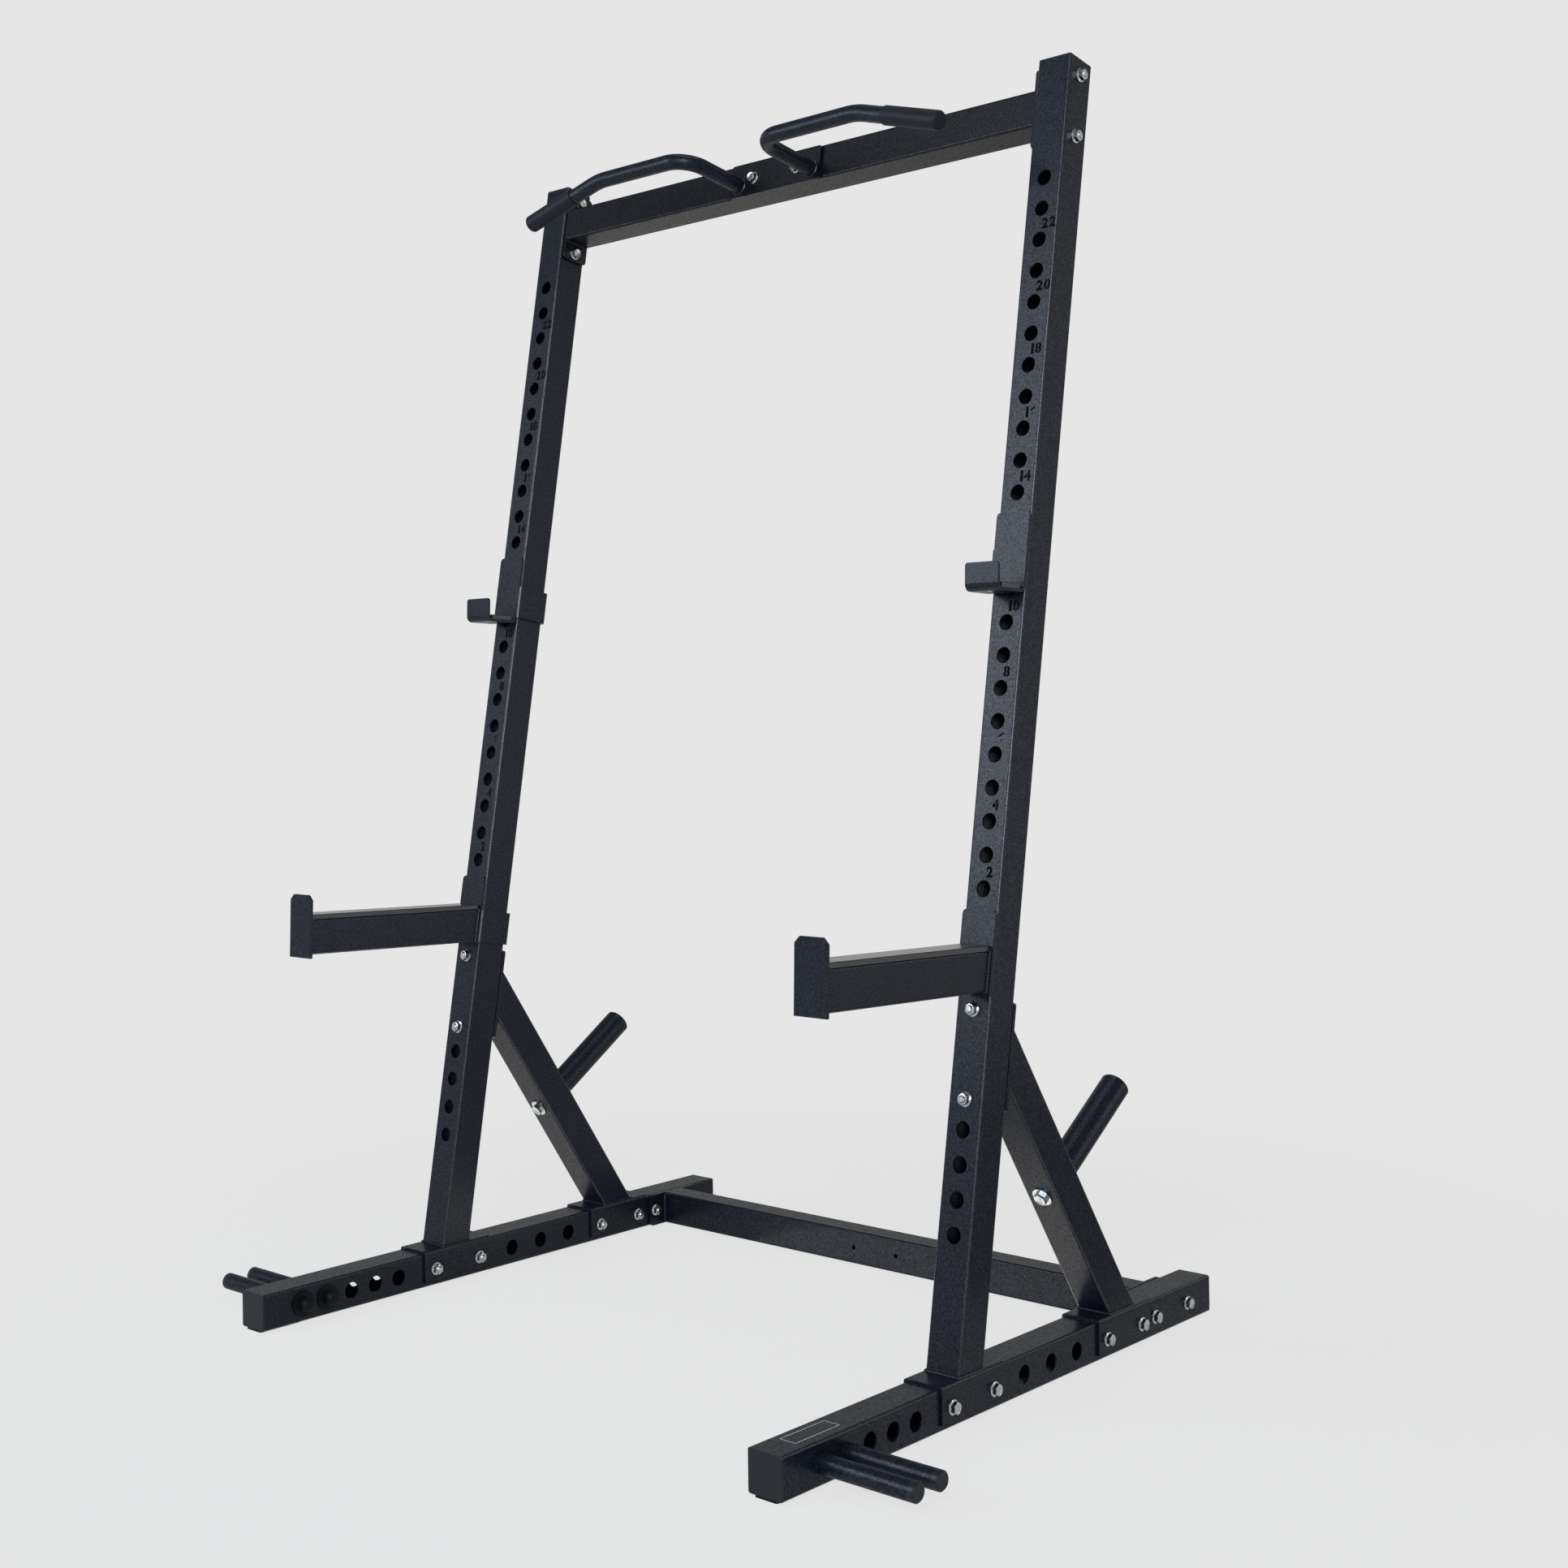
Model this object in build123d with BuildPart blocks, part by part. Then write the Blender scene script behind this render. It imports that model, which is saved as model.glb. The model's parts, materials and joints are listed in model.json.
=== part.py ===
"""Free-standing lifting rack with reclined uprights, a pull-up beam and roll-to-lock fittings.

Millimetres, +Z up. The origin is on the floor under the middle of the frame, +Y is the rear
and the rack is symmetric about the YZ plane.
"""
import os
from math import atan2, cos, hypot, radians, sin, tan

from build123d import *

os.makedirs("parts", exist_ok=True)

# Frame tubes
TUBE = 60.0                    # side of the square tube of rails, uprights and braces
TUBE_WALL = 3.0
TUBE_CORNER = 4.0              # outside corner radius
TIE_DEPTH = 50.0               # front-to-back size of the rear cross tube, which is TUBE high
BEAM_DEPTH = 55.0              # front-to-back size of the pull-up beam, which is TUBE high

# Stance
STANCE = 1146.0                # between the centre lines of the two uprights
LEAN_ANGLE = 9.7               # uprights lean back from the vertical
UPRIGHT_LENGTH = 1990.0        # along the front face, from the foot saddle to the cut top
BRACE_SETBACK = 402.0          # middle of the upright's foot to the middle of the brace's foot
BRACE_JOINT = 453.4            # middle of the brace's top plate, along the upright
RAIL_FRONT_END = 75.4          # rail's front cut to its first peg hole
RAIL_REAR_END = 119.1          # middle of the rear cross tube to the rail's rear cut

# Closing pieces of the tubes
CAP_HEAD = 3.0
CAP_ROUND = 1.0
CAP_PLUG = 16.0
CAP_PLUG_WALL = 2.5
CAP_FIT = 0.2
PAD_THICKNESS = 3.0
PAD_LENGTH = 80.0
PAD_INSET = 10.0               # pad's sides inside the tube's
PAD_SETBACK = 1.0              # pad's end behind the rail cap's face

# Bolted joints
BOLT = 10.0
BOLT_CLEARANCE = 1.0           # on the diameter of the holes
HEAD_FLATS = 16.0
HEAD_HEIGHT = 9.0
HEAD_FLANGE = 22.0
FLANGE_THICKNESS = 2.0
NUT_HEIGHT = 9.0
BOLT_TAIL = 2.0                # bolt end past its nut
THREAD_FIT = 0.1

# Foot saddles over the rails
SADDLE_BOLT_SPACING = 100.0
SADDLE_EDGE = 25.0             # bolt to the saddle's end
SADDLE_PLATE = 4.0
SADDLE_DROP = 55.0
SADDLE_FIT = 0.3
SADDLE_BEND = 5.0

# Braces and plate horns
BRACE_PLATE = 6.0
BRACE_BOLT_SPACING = 130.0
BRACE_EDGE = 15.0              # bolt to the plate's end
BRACE_PLATE_CORNER = 5.0
HORN_DIAMETER = 47.0
HORN_WALL = 2.5
HORN_LENGTH = 187.0            # steel tube, without its end cap
HORN_BASE = 10.0
HORN_RISE = 268.0              # along the brace from the middle of its foot
HORN_BOLT = 12.0
HORN_BOLT_TAIL = 4.0
HORN_HEAD_FLATS = 19.0
HORN_HEAD_HEIGHT = 7.5
HORN_WASHER = 32.0
HORN_WASHER_THICKNESS = 2.5

# Cross tubes
END_PLATE = 6.0
END_BOLT_SPACING = 100.0
END_EDGE = 15.0                # bolt to the end plate's end
END_PLATE_CORNER = 8.0
TIE_GAP = 7.5                  # brace saddle to the rear cross tube's end plate
BEAM_DROP = 73.0               # upright's cut top to the pull-up beam's centre line
BEAM_SETBACK = 5.0             # upright's front face to the beam's
TIE_SMALL_HOLE = 8.0
TIE_SMALL_SPACING = 98.0

# Pull-up handles
HANDLE_PLATE = 6.0
HANDLE_PLATE_HEIGHT = 60.0
HANDLE_PLATE_CORNER = 4.0
HANDLE_EDGE = 6.0              # handle's tube to the plate's end
HANDLE_BOLT_SPACING = 100.0
HANDLE_DROP = 2.5              # plate and its bolts below the beam's centre line
HANDLE_TUBE = 27.0
HANDLE_WALL = 2.5
HANDLE_ROOT = 83.0             # from the rack's middle
HANDLE_ROOT_DROP = 9.5         # below the bolts
HANDLE_REACH = 138.0           # plate's front face to the handle's outer run
HANDLE_KNEE = 297.0
HANDLE_DROOP = 16.4            # grips slope down, degrees
HANDLE_ROOT_BEND = 45.0
HANDLE_KNEE_BEND = 120.0
GRIP_START = 64.5              # along the drooping leg from the knee
GRIP_LENGTH = 116.5
GRIP_WALL = 2.0
GRIP_END = 4.0
GRIP_FIT = 0.1
GRIP_ROUND = 5.0
GRIP_LIP_ROUND = 1.2

# Runs of round holes
HOLE_DIAMETER = 25.0
HOLE_PITCH = 50.0
TOP_HOLE_MARGIN = 55.0         # top hole to the pull-up beam's end plate, at least
LOW_HOLE_COUNT = 4
LOW_HOLE_GAP = 28.8            # brace plate to the low run's top hole
RAIL_HOLE_DIAMETER = 28.0
RAIL_HOLE_PITCH = 50.0
RAIL_HOLE_COUNT = 5
RAIL_HOLE_LEAD = 130.0         # middle of the upright's foot to the nearest front hole
MID_HOLE_PITCH = 70.0
MID_HOLE_COUNT = 3

# Roll-to-lock fittings: a pin in an upright hole and a band round the upright
FITTING_PLATE = 5.0
FITTING_GAP = 0.5              # running gap to the upright
FITTING_PITCH = 1.8            # arms and cups rise to the front from the horizontal
PIN_CLEARANCE = 0.3            # on the radius
PIN_LENGTH = 45.0              # behind the tongue
PIN_ROUND = 3.0
TONGUE_RISE = 19.0             # tongue's top above the pin
TONGUE_CORNER = 7.0
BAND_HEIGHT = 58.0
BAND_LIP = 38.0                # turned in behind the upright
BAND_LAP = 8.0                 # welded to the tongue
BAND_BEND = 5.2                # middle of the plate
ROLL_CLEARANCE = 2.0           # tongue's swing to the brace plate

# Spotter arms
ARM_HOLE = 0
ARM_WIDTH = 50.0
ARM_HEIGHT = 60.0
ARM_DROP = 69.6                # pin to the arm's axis at the upright's front face
ARM_FOOT = 5.4                 # tongue below the arm
ARM_LENGTH = 367.5             # upright's front face to the back of the stop plate, on the arm's axis
ARM_BAND_DROP = 71.0           # pin to the band's middle
STOP_PLATE = 5.0
STOP_WIDTH = 58.0
STOP_RISE = 33.0               # above the liner
STOP_OVERHANG = 6.0            # below the arm
STOP_CORNER = 9.0
LINER_THICKNESS = 8.0
LINER_GAP = 1.0                # liner's ends from the plates
LINER_EDGE = 1.0
SCREW = 6.0
SCREW_HEAD = 12.0
SCREW_CLEARANCE = 0.2          # on the radius
SCREW_TAIL = 3.0
SCREW_INSET = 18.0
SCREW_ANGLE = 90.0

# Bar cups
CUP_HOLE = 12
CUP_TONGUE = 104.0             # pin to the bend under the bar, at the middle of the plate
CUP_REACH = 67.0               # upright's front face to the middle of the lip
CUP_LIP = 40.0                 # lip above the floor's middle line
CUP_BEND = 9.0                 # middle of the plate
CUP_LIP_CORNER = 5.0
CUP_BAND_DROP = 67.0
CUP_LINER = 8.0
CUP_LINER_INSET = 2.0          # from the plate's sides
CUP_SCREW_INSET = 9.0

# Band pegs
PEG_COUNT = 2
PEG_CLEARANCE = 0.25           # on the radius
PEG_LENGTH = 150.0             # past the rail, without the end cap
PEG_CAP = 10.0
PEG_CAP_ROUND = 2.0
PEG_SPIGOT = 12.0
PEG_SPIGOT_LENGTH = 12.0
PEG_STUD = 10.0
PEG_WASHER = 42.0
PEG_WASHER_THICKNESS = 3.0
PEG_NUT = 24.0
PEG_NUT_HEIGHT = 18.0
PEG_NUT_CROWN = 4.0            # closed end of the domed nut
PEG_NUT_ROUND = 7.0

# Directions
SIDES = {"left": -1, "right": 1}
lean = radians(LEAN_ANGLE)
pitch = radians(FITTING_PITCH)
ACROSS = Vector(1, 0, 0)
UP = Vector(0, sin(lean), cos(lean))
FORWARD = Vector(0, -cos(lean), sin(lean))
ARM_FORWARD = Vector(0, -cos(pitch), sin(pitch))
ARM_UP = Vector(0, sin(pitch), cos(pitch))

# Sizes that follow from the ones above
BOLT_HOLE = BOLT + BOLT_CLEARANCE
SADDLE_LENGTH = SADDLE_BOLT_SPACING + 2 * SADDLE_EDGE
SADDLE_WIDTH = TUBE + 2 * SADDLE_FIT + 2 * SADDLE_PLATE
BRACE_PLATE_LENGTH = BRACE_BOLT_SPACING + 2 * BRACE_EDGE
END_PLATE_LENGTH = END_BOLT_SPACING + 2 * END_EDGE
TIE_SETBACK = BRACE_SETBACK + SADDLE_LENGTH / 2 + TIE_GAP + END_PLATE_LENGTH / 2
FOOT_SETBACK = RAIL_FRONT_END + (RAIL_HOLE_COUNT - 1) * RAIL_HOLE_PITCH + RAIL_HOLE_LEAD
RAIL_LENGTH = FOOT_SETBACK + TIE_SETBACK + RAIL_REAR_END
SPAN = STANCE - TUBE
BEAM_INSIDE = SPAN / 2 - END_PLATE
BEAM_RISE = UPRIGHT_LENGTH - BEAM_DROP
BEAM_FRONT = -BEAM_SETBACK
BEAM_MIDDLE = BEAM_FRONT - BEAM_DEPTH / 2
HANDLE_PLATE_FRONT = BEAM_FRONT + HANDLE_PLATE
HANDLE_BOLT_RISE = BEAM_RISE - HANDLE_DROP
HANDLE_LEVEL = HANDLE_BOLT_RISE - HANDLE_ROOT_DROP
GRIP_RADIUS = HANDLE_TUBE / 2 + GRIP_FIT + GRIP_WALL
PIN_RADIUS = HOLE_DIAMETER / 2 - PIN_CLEARANCE
PEG_RADIUS = RAIL_HOLE_DIAMETER / 2 - PEG_CLEARANCE
PEG_STUD_LENGTH = PEG_WASHER_THICKNESS + PEG_NUT_HEIGHT - PEG_NUT_CROWN
TONGUE_MIDDLE = FITTING_GAP + FITTING_PLATE / 2
TONGUE_FRONT = FITTING_GAP + FITTING_PLATE
ARM_TONGUE = ARM_DROP + ARM_HEIGHT / 2 + ARM_FOOT
ARM_SWING = hypot(TUBE / 2, ARM_TONGUE)
STOP_HEIGHT = STOP_OVERHANG + ARM_HEIGHT + LINER_THICKNESS + STOP_RISE
CUP_SLOPE = lean - pitch       # the cup's floor falls to the front against the upright's normal
CUP_FLOOR = (CUP_REACH - TONGUE_MIDDLE) / cos(CUP_SLOPE)

# Places that follow from the sizes
RAIL_AXIS = PAD_THICKNESS + TUBE / 2
SADDLE_TOP = PAD_THICKNESS + TUBE + SADDLE_PLATE
FOOT_MIDDLE = FOOT_SETBACK - RAIL_LENGTH / 2
FOOT_FRONT = FOOT_MIDDLE - TUBE / cos(lean) / 2
BRACE_FOOT = FOOT_MIDDLE + BRACE_SETBACK
TIE_MIDDLE = FOOT_MIDDLE + TIE_SETBACK
FIRST_HOLE = BRACE_JOINT + BRACE_PLATE_LENGTH / 2 + ROLL_CLEARANCE + ARM_SWING
LOW_HOLE_TOP = BRACE_JOINT - BRACE_PLATE_LENGTH / 2 - LOW_HOLE_GAP
TOP_HOLE_LIMIT = BEAM_RISE - END_PLATE_LENGTH / 2 - TOP_HOLE_MARGIN
HOLE_COUNT = int((TOP_HOLE_LIMIT - FIRST_HOLE) // HOLE_PITCH) + 1
ARM_PIN = FIRST_HOLE + ARM_HOLE * HOLE_PITCH
CUP_PIN = FIRST_HOLE + CUP_HOLE * HOLE_PITCH

upright_holes = [FIRST_HOLE + step * HOLE_PITCH for step in range(HOLE_COUNT)]
low_holes = [LOW_HOLE_TOP - step * HOLE_PITCH for step in range(LOW_HOLE_COUNT)]
front_holes = [FOOT_MIDDLE - RAIL_HOLE_LEAD - step * RAIL_HOLE_PITCH for step in range(RAIL_HOLE_COUNT)]
peg_holes = front_holes[-PEG_COUNT:]
mid_start = FOOT_MIDDLE + BRACE_SETBACK / 2 - (MID_HOLE_COUNT - 1) * MID_HOLE_PITCH / 2
mid_holes = [mid_start + step * MID_HOLE_PITCH for step in range(MID_HOLE_COUNT)]
saddle_feet = (FOOT_MIDDLE, BRACE_FOOT)
saddle_bolts = [foot + end * SADDLE_BOLT_SPACING / 2 for foot in saddle_feet for end in (-1, 1)]
tie_bolts = [TIE_MIDDLE + end * END_BOLT_SPACING / 2 for end in (-1, 1)]
brace_bolts = [BRACE_JOINT + end * BRACE_BOLT_SPACING / 2 for end in (-1, 1)]
beam_bolts = [BEAM_RISE + end * END_BOLT_SPACING / 2 for end in (-1, 1)]


# Reference points and planes
def on_upright(side, across, forward, along):
    """Point by its place across, ahead of and along the front face of an upright (side 0: the middle)."""
    foot = Vector(side * STANCE / 2, FOOT_FRONT, SADDLE_TOP)
    return foot + ACROSS * across + FORWARD * forward + UP * along


def front_plane(side, forward=0.0):
    """Parallel to an upright's front face: across and along, facing forward."""
    return Plane(origin=on_upright(side, 0, forward, 0), x_dir=ACROSS, z_dir=FORWARD)


def rear_plane(side, along):
    """On an upright's rear face, facing back."""
    return Plane(origin=on_upright(side, 0, -TUBE, along), x_dir=ACROSS, z_dir=FORWARD * -1)


def section_plane(side, along):
    """Square to an upright on the tube's centre line: across and back, facing up."""
    return Plane(origin=on_upright(side, 0, -TUBE / 2, along), x_dir=ACROSS, z_dir=UP)


def profile_plane(side):
    """Through an upright's middle: forward and along."""
    return Plane(origin=on_upright(side, 0, 0, 0), x_dir=FORWARD, z_dir=ACROSS * -1)


def flank_plane(x, along, facing, forward=-TUBE / 2):
    """On a flank of the leaning frame, at the uprights' centre line or another, facing +X or -X."""
    return Plane(origin=on_upright(0, x, forward, along), x_dir=FORWARD * -facing, z_dir=ACROSS * facing)


def side_plane(x, y, facing):
    """Beside a rail at its centre line, facing +X or -X."""
    return Plane(origin=(x, y, RAIL_AXIS), x_dir=(0, facing, 0), z_dir=ACROSS * facing)


def cross_plane(x, y, z, facing=-1):
    """Across the rack, facing the front, or the rear with facing 1."""
    return Plane(origin=(x, y, z), x_dir=ACROSS * -facing, z_dir=(0, facing, 0))


joint = on_upright(0, 0, -TUBE - BRACE_PLATE, BRACE_JOINT)
brace_tilt = atan2(BRACE_FOOT - joint.Y, joint.Z - SADDLE_TOP)
BRACE_LENGTH = hypot(BRACE_FOOT - joint.Y, joint.Z - SADDLE_TOP)
BRACE_UP = Vector(0, -sin(brace_tilt), cos(brace_tilt))
BRACE_BACK = Vector(0, cos(brace_tilt), sin(brace_tilt))


def brace_plane(side, rise, back, facing=1):
    """Parallel to a brace's rear face, facing back and up, or forward and down with facing -1."""
    foot = Vector(side * STANCE / 2, BRACE_FOOT, SADDLE_TOP)
    return Plane(
        origin=foot + BRACE_UP * rise + BRACE_BACK * back,
        x_dir=ACROSS,
        z_dir=BRACE_BACK * facing,
    )


def arm_plane(side):
    """Under an arm's liner: across and back along the arm, facing up."""
    root = on_upright(side, 0, 0, ARM_PIN - ARM_DROP)
    return Plane(origin=root + ARM_UP * (ARM_HEIGHT / 2), x_dir=ACROSS, z_dir=ARM_UP)


def cup_plane(side):
    """On a cup's floor at its rear bend: across and back along the floor, facing up."""
    root = on_upright(side, 0, TONGUE_MIDDLE, CUP_PIN - CUP_TONGUE)
    return Plane(origin=root + ARM_UP * (FITTING_PLATE / 2), x_dir=ACROSS, z_dir=ARM_UP)


def arm_liner_ends():
    """Rear and front of an arm's liner, ahead of the upright's front face along the arm."""
    rear = TONGUE_FRONT / cos(CUP_SLOPE) - ARM_HEIGHT / 2 * tan(CUP_SLOPE) + LINER_GAP
    return rear, ARM_LENGTH - LINER_GAP


def cup_liner_ends():
    """Rear and front of a cup's liner on the flat of the floor, ahead of the rear bend."""
    rear_bend = radians(90) - CUP_SLOPE
    rear = CUP_BEND * tan(rear_bend / 2)
    front = CUP_FLOOR - CUP_BEND
    return rear + LINER_GAP, front - LINER_GAP


def screw_seats(plane, ends, inset, thickness):
    """Planes on a liner's top where its two screws go in."""
    rear, front = ends
    top = plane.offset(thickness)
    spots = [top.from_local_coords((0, -place, 0)) for place in (rear + inset, front - inset)]
    return [Plane(origin=spot, x_dir=ACROSS, z_dir=ARM_UP) for spot in spots]


def arm_screw_seats(side):
    """Where an arm liner's screws go in."""
    return screw_seats(arm_plane(side), arm_liner_ends(), SCREW_INSET, LINER_THICKNESS)


def cup_screw_seats(side):
    """Where a cup liner's screws go in."""
    return screw_seats(cup_plane(side), cup_liner_ends(), CUP_SCREW_INSET, CUP_LINER)


# Seats of pieces that repeat on both sides
def rail_seats(out, places, facing):
    """Planes beside both rails, out from their centre lines, facing outward or inward."""
    centres = [(side, side * (STANCE / 2 + out)) for side in SIDES.values()]
    return [side_plane(x, y, side * facing) for side, x in centres for y in places]


def flank_seats(out, places, facing):
    """Planes beside both uprights, out from their centre lines, facing outward or inward."""
    centres = [(side, side * (STANCE / 2 + out)) for side in SIDES.values()]
    return [flank_plane(x, along, side * facing) for side, x in centres for along in places]


def face_seats(columns, forward, places, facing):
    """Planes in front of or behind the leaning frame, facing forward or back."""
    spots = [on_upright(0, x, forward, along) for x in columns for along in places]
    return [Plane(origin=spot, x_dir=ACROSS, z_dir=FORWARD * facing) for spot in spots]


# Shared profiles
def save(piece, name):
    """Label a finished piece and write it."""
    piece.part.label = name
    export_step(piece.part, f"parts/{name}.step")


def tube_section(plane, width, height):
    """Rolled tube with rounded outside corners."""
    with BuildSketch(plane) as section:
        RectangleRounded(width, height, TUBE_CORNER)
        Rectangle(width - 2 * TUBE_WALL, height - 2 * TUBE_WALL, mode=Mode.SUBTRACT)
    return section.sketch


def saddle_section(x, y):
    """Inverted channel that sits over a rail."""
    with BuildSketch(cross_plane(x, y, SADDLE_TOP)) as section:
        with Locations((0, -SADDLE_DROP / 2)):
            Rectangle(SADDLE_WIDTH, SADDLE_DROP)
        fillet(section.vertices().group_by(Axis.Y)[-1], SADDLE_BEND)
        with Locations((0, -SADDLE_PLATE - SADDLE_DROP / 2)):
            Rectangle(TUBE + 2 * SADDLE_FIT, SADDLE_DROP, mode=Mode.SUBTRACT)
    return section.sketch


def circles(plane, places, diameter):
    """Circles at places on a plane."""
    with BuildSketch(plane) as rounds:
        with Locations(*places):
            Circle(diameter / 2)
    return rounds.sketch


def band_section(side, along):
    """Strip from the tongue round the inner flank and behind the upright, seen from above."""
    flank = -side * (TUBE / 2 + FITTING_GAP + FITTING_PLATE / 2)
    reach = TUBE / 2 + TONGUE_MIDDLE
    with BuildSketch(section_plane(side, along)) as section:
        with BuildLine():
            FilletPolyline(
                (-side * (TUBE / 2 - BAND_LAP), -reach),
                (flank, -reach),
                (flank, reach),
                (flank + side * BAND_LIP, reach),
                radius=BAND_BEND,
            )
        trace(line_width=FITTING_PLATE)
    return section.sketch


# Frame
def make_rail(name, side):
    """Floor rail: square tube with through holes for pegs and bolts."""
    x = side * STANCE / 2
    flank = side_plane(x + TUBE / 2, 0, 1)
    with BuildPart() as rail:
        extrude(tube_section(cross_plane(x, -RAIL_LENGTH / 2, RAIL_AXIS), TUBE, TUBE), amount=-RAIL_LENGTH)
        peg_places = [(y, 0) for y in front_holes + mid_holes]
        extrude(circles(flank, peg_places, RAIL_HOLE_DIAMETER), amount=-TUBE, mode=Mode.SUBTRACT)
        bolt_places = [(y, 0) for y in saddle_bolts + tie_bolts]
        extrude(circles(flank, bolt_places, BOLT_HOLE), amount=-TUBE, mode=Mode.SUBTRACT)
    save(rail, name)


def make_upright(name, side):
    """Leaning upright, cut to stand on its saddle, with two runs of fitting holes."""
    x = side * STANCE / 2
    below = TUBE * tan(lean)
    front = front_plane(side)
    flank = flank_plane(x + TUBE / 2, 0, 1)
    with BuildPart() as upright:
        extrude(tube_section(section_plane(side, -below), TUBE, TUBE), amount=UPRIGHT_LENGTH + below)
        split(bisect_by=Plane.XY.offset(SADDLE_TOP), keep=Keep.TOP)
        pin_places = [(0, along) for along in low_holes + upright_holes]
        extrude(circles(front, pin_places, HOLE_DIAMETER), amount=-TUBE, mode=Mode.SUBTRACT)
        brace_places = [(0, along) for along in brace_bolts]
        extrude(circles(front, brace_places, BOLT_HOLE), amount=-TUBE, mode=Mode.SUBTRACT)
        beam_places = [(0, along) for along in beam_bolts]
        extrude(circles(flank, beam_places, BOLT_HOLE), amount=-TUBE, mode=Mode.SUBTRACT)
    save(upright, name)


def make_foot_saddle(name, side):
    """Saddle over the rail that an upright is welded to."""
    x = side * STANCE / 2
    flank = side_plane(x + SADDLE_WIDTH / 2, FOOT_MIDDLE, 1)
    with BuildPart() as saddle:
        extrude(saddle_section(x, FOOT_MIDDLE - SADDLE_LENGTH / 2), amount=-SADDLE_LENGTH)
        bolt_places = [(end * SADDLE_BOLT_SPACING / 2, 0) for end in (-1, 1)]
        extrude(circles(flank, bolt_places, BOLT_HOLE), amount=-SADDLE_WIDTH, mode=Mode.SUBTRACT)
    save(saddle, name)


def make_brace(name, side):
    """Rear brace: slanted tube welded to a top plate and a foot saddle."""
    x = side * STANCE / 2
    spare = 2 * TUBE
    foot = Vector(x, BRACE_FOOT, SADDLE_TOP)
    low_end = Plane(origin=foot - BRACE_UP * spare, x_dir=ACROSS, z_dir=BRACE_UP)
    plate_front = rear_plane(side, BRACE_JOINT)
    plate_rear = plate_front.offset(BRACE_PLATE)
    foot_flank = side_plane(x + SADDLE_WIDTH / 2, BRACE_FOOT, 1)
    horn_seat = brace_plane(side, HORN_RISE, TUBE / 2)
    with BuildPart() as brace:
        extrude(tube_section(low_end, TUBE, TUBE), amount=BRACE_LENGTH + 2 * spare)
        split(bisect_by=Plane.XY.offset(SADDLE_TOP), keep=Keep.TOP)
        split(bisect_by=plate_rear, keep=Keep.TOP)
        with BuildSketch(plate_front):
            RectangleRounded(TUBE, BRACE_PLATE_LENGTH, BRACE_PLATE_CORNER)
        extrude(amount=BRACE_PLATE)
        extrude(saddle_section(x, BRACE_FOOT - SADDLE_LENGTH / 2), amount=-SADDLE_LENGTH)
        plate_places = [(0, end * BRACE_BOLT_SPACING / 2) for end in (-1, 1)]
        extrude(circles(plate_rear, plate_places, BOLT_HOLE), amount=-BRACE_PLATE, mode=Mode.SUBTRACT)
        foot_places = [(end * SADDLE_BOLT_SPACING / 2, 0) for end in (-1, 1)]
        extrude(circles(foot_flank, foot_places, BOLT_HOLE), amount=-SADDLE_WIDTH, mode=Mode.SUBTRACT)
        horn_hole = circles(horn_seat, [(0, 0)], HORN_BOLT + BOLT_CLEARANCE)
        extrude(horn_hole, amount=-TUBE, mode=Mode.SUBTRACT)
    save(brace, name)


def make_rear_tie(name):
    """Rear cross tube welded between two plates that bolt to the rails."""
    front = cross_plane(0, TIE_MIDDLE - TIE_DEPTH / 2, RAIL_AXIS)
    left_end = side_plane(-BEAM_INSIDE, TIE_MIDDLE, 1)
    with BuildPart() as tie:
        extrude(tube_section(left_end, TIE_DEPTH, TUBE), amount=2 * BEAM_INSIDE)
        with BuildSketch(*[side_plane(side * BEAM_INSIDE, TIE_MIDDLE, side) for side in SIDES.values()]):
            RectangleRounded(END_PLATE_LENGTH, TUBE, END_PLATE_CORNER)
            with GridLocations(END_BOLT_SPACING, 0, 2, 1):
                Circle(BOLT_HOLE / 2, mode=Mode.SUBTRACT)
        extrude(amount=END_PLATE)
        small_places = [(end * TIE_SMALL_SPACING / 2, 0) for end in (-1, 1)]
        extrude(circles(front, small_places, TIE_SMALL_HOLE), amount=-TUBE_WALL, mode=Mode.SUBTRACT)
    save(tie, name)


def make_pull_up_beam(name):
    """Top cross tube welded between two plates that bolt to the uprights' inner faces."""
    front = front_plane(0, BEAM_FRONT)
    left_end = flank_plane(-BEAM_INSIDE, BEAM_RISE, 1, BEAM_MIDDLE)
    ends = [flank_plane(side * BEAM_INSIDE, BEAM_RISE, side, BEAM_MIDDLE) for side in SIDES.values()]
    right_flank = flank_plane(SPAN / 2, 0, 1)
    with BuildPart() as beam:
        extrude(tube_section(left_end, BEAM_DEPTH, TUBE), amount=2 * BEAM_INSIDE)
        with BuildSketch(*ends):
            RectangleRounded(BEAM_DEPTH, END_PLATE_LENGTH, END_PLATE_CORNER)
        extrude(amount=END_PLATE)
        end_places = [(0, along) for along in beam_bolts]
        extrude(circles(right_flank, end_places, BOLT_HOLE), amount=-SPAN, mode=Mode.SUBTRACT)
        handle_places = [(end * HANDLE_BOLT_SPACING / 2, HANDLE_BOLT_RISE) for end in (-1, 1)]
        extrude(circles(front, handle_places, BOLT_HOLE), amount=-BEAM_DEPTH, mode=Mode.SUBTRACT)
    save(beam, name)


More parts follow.
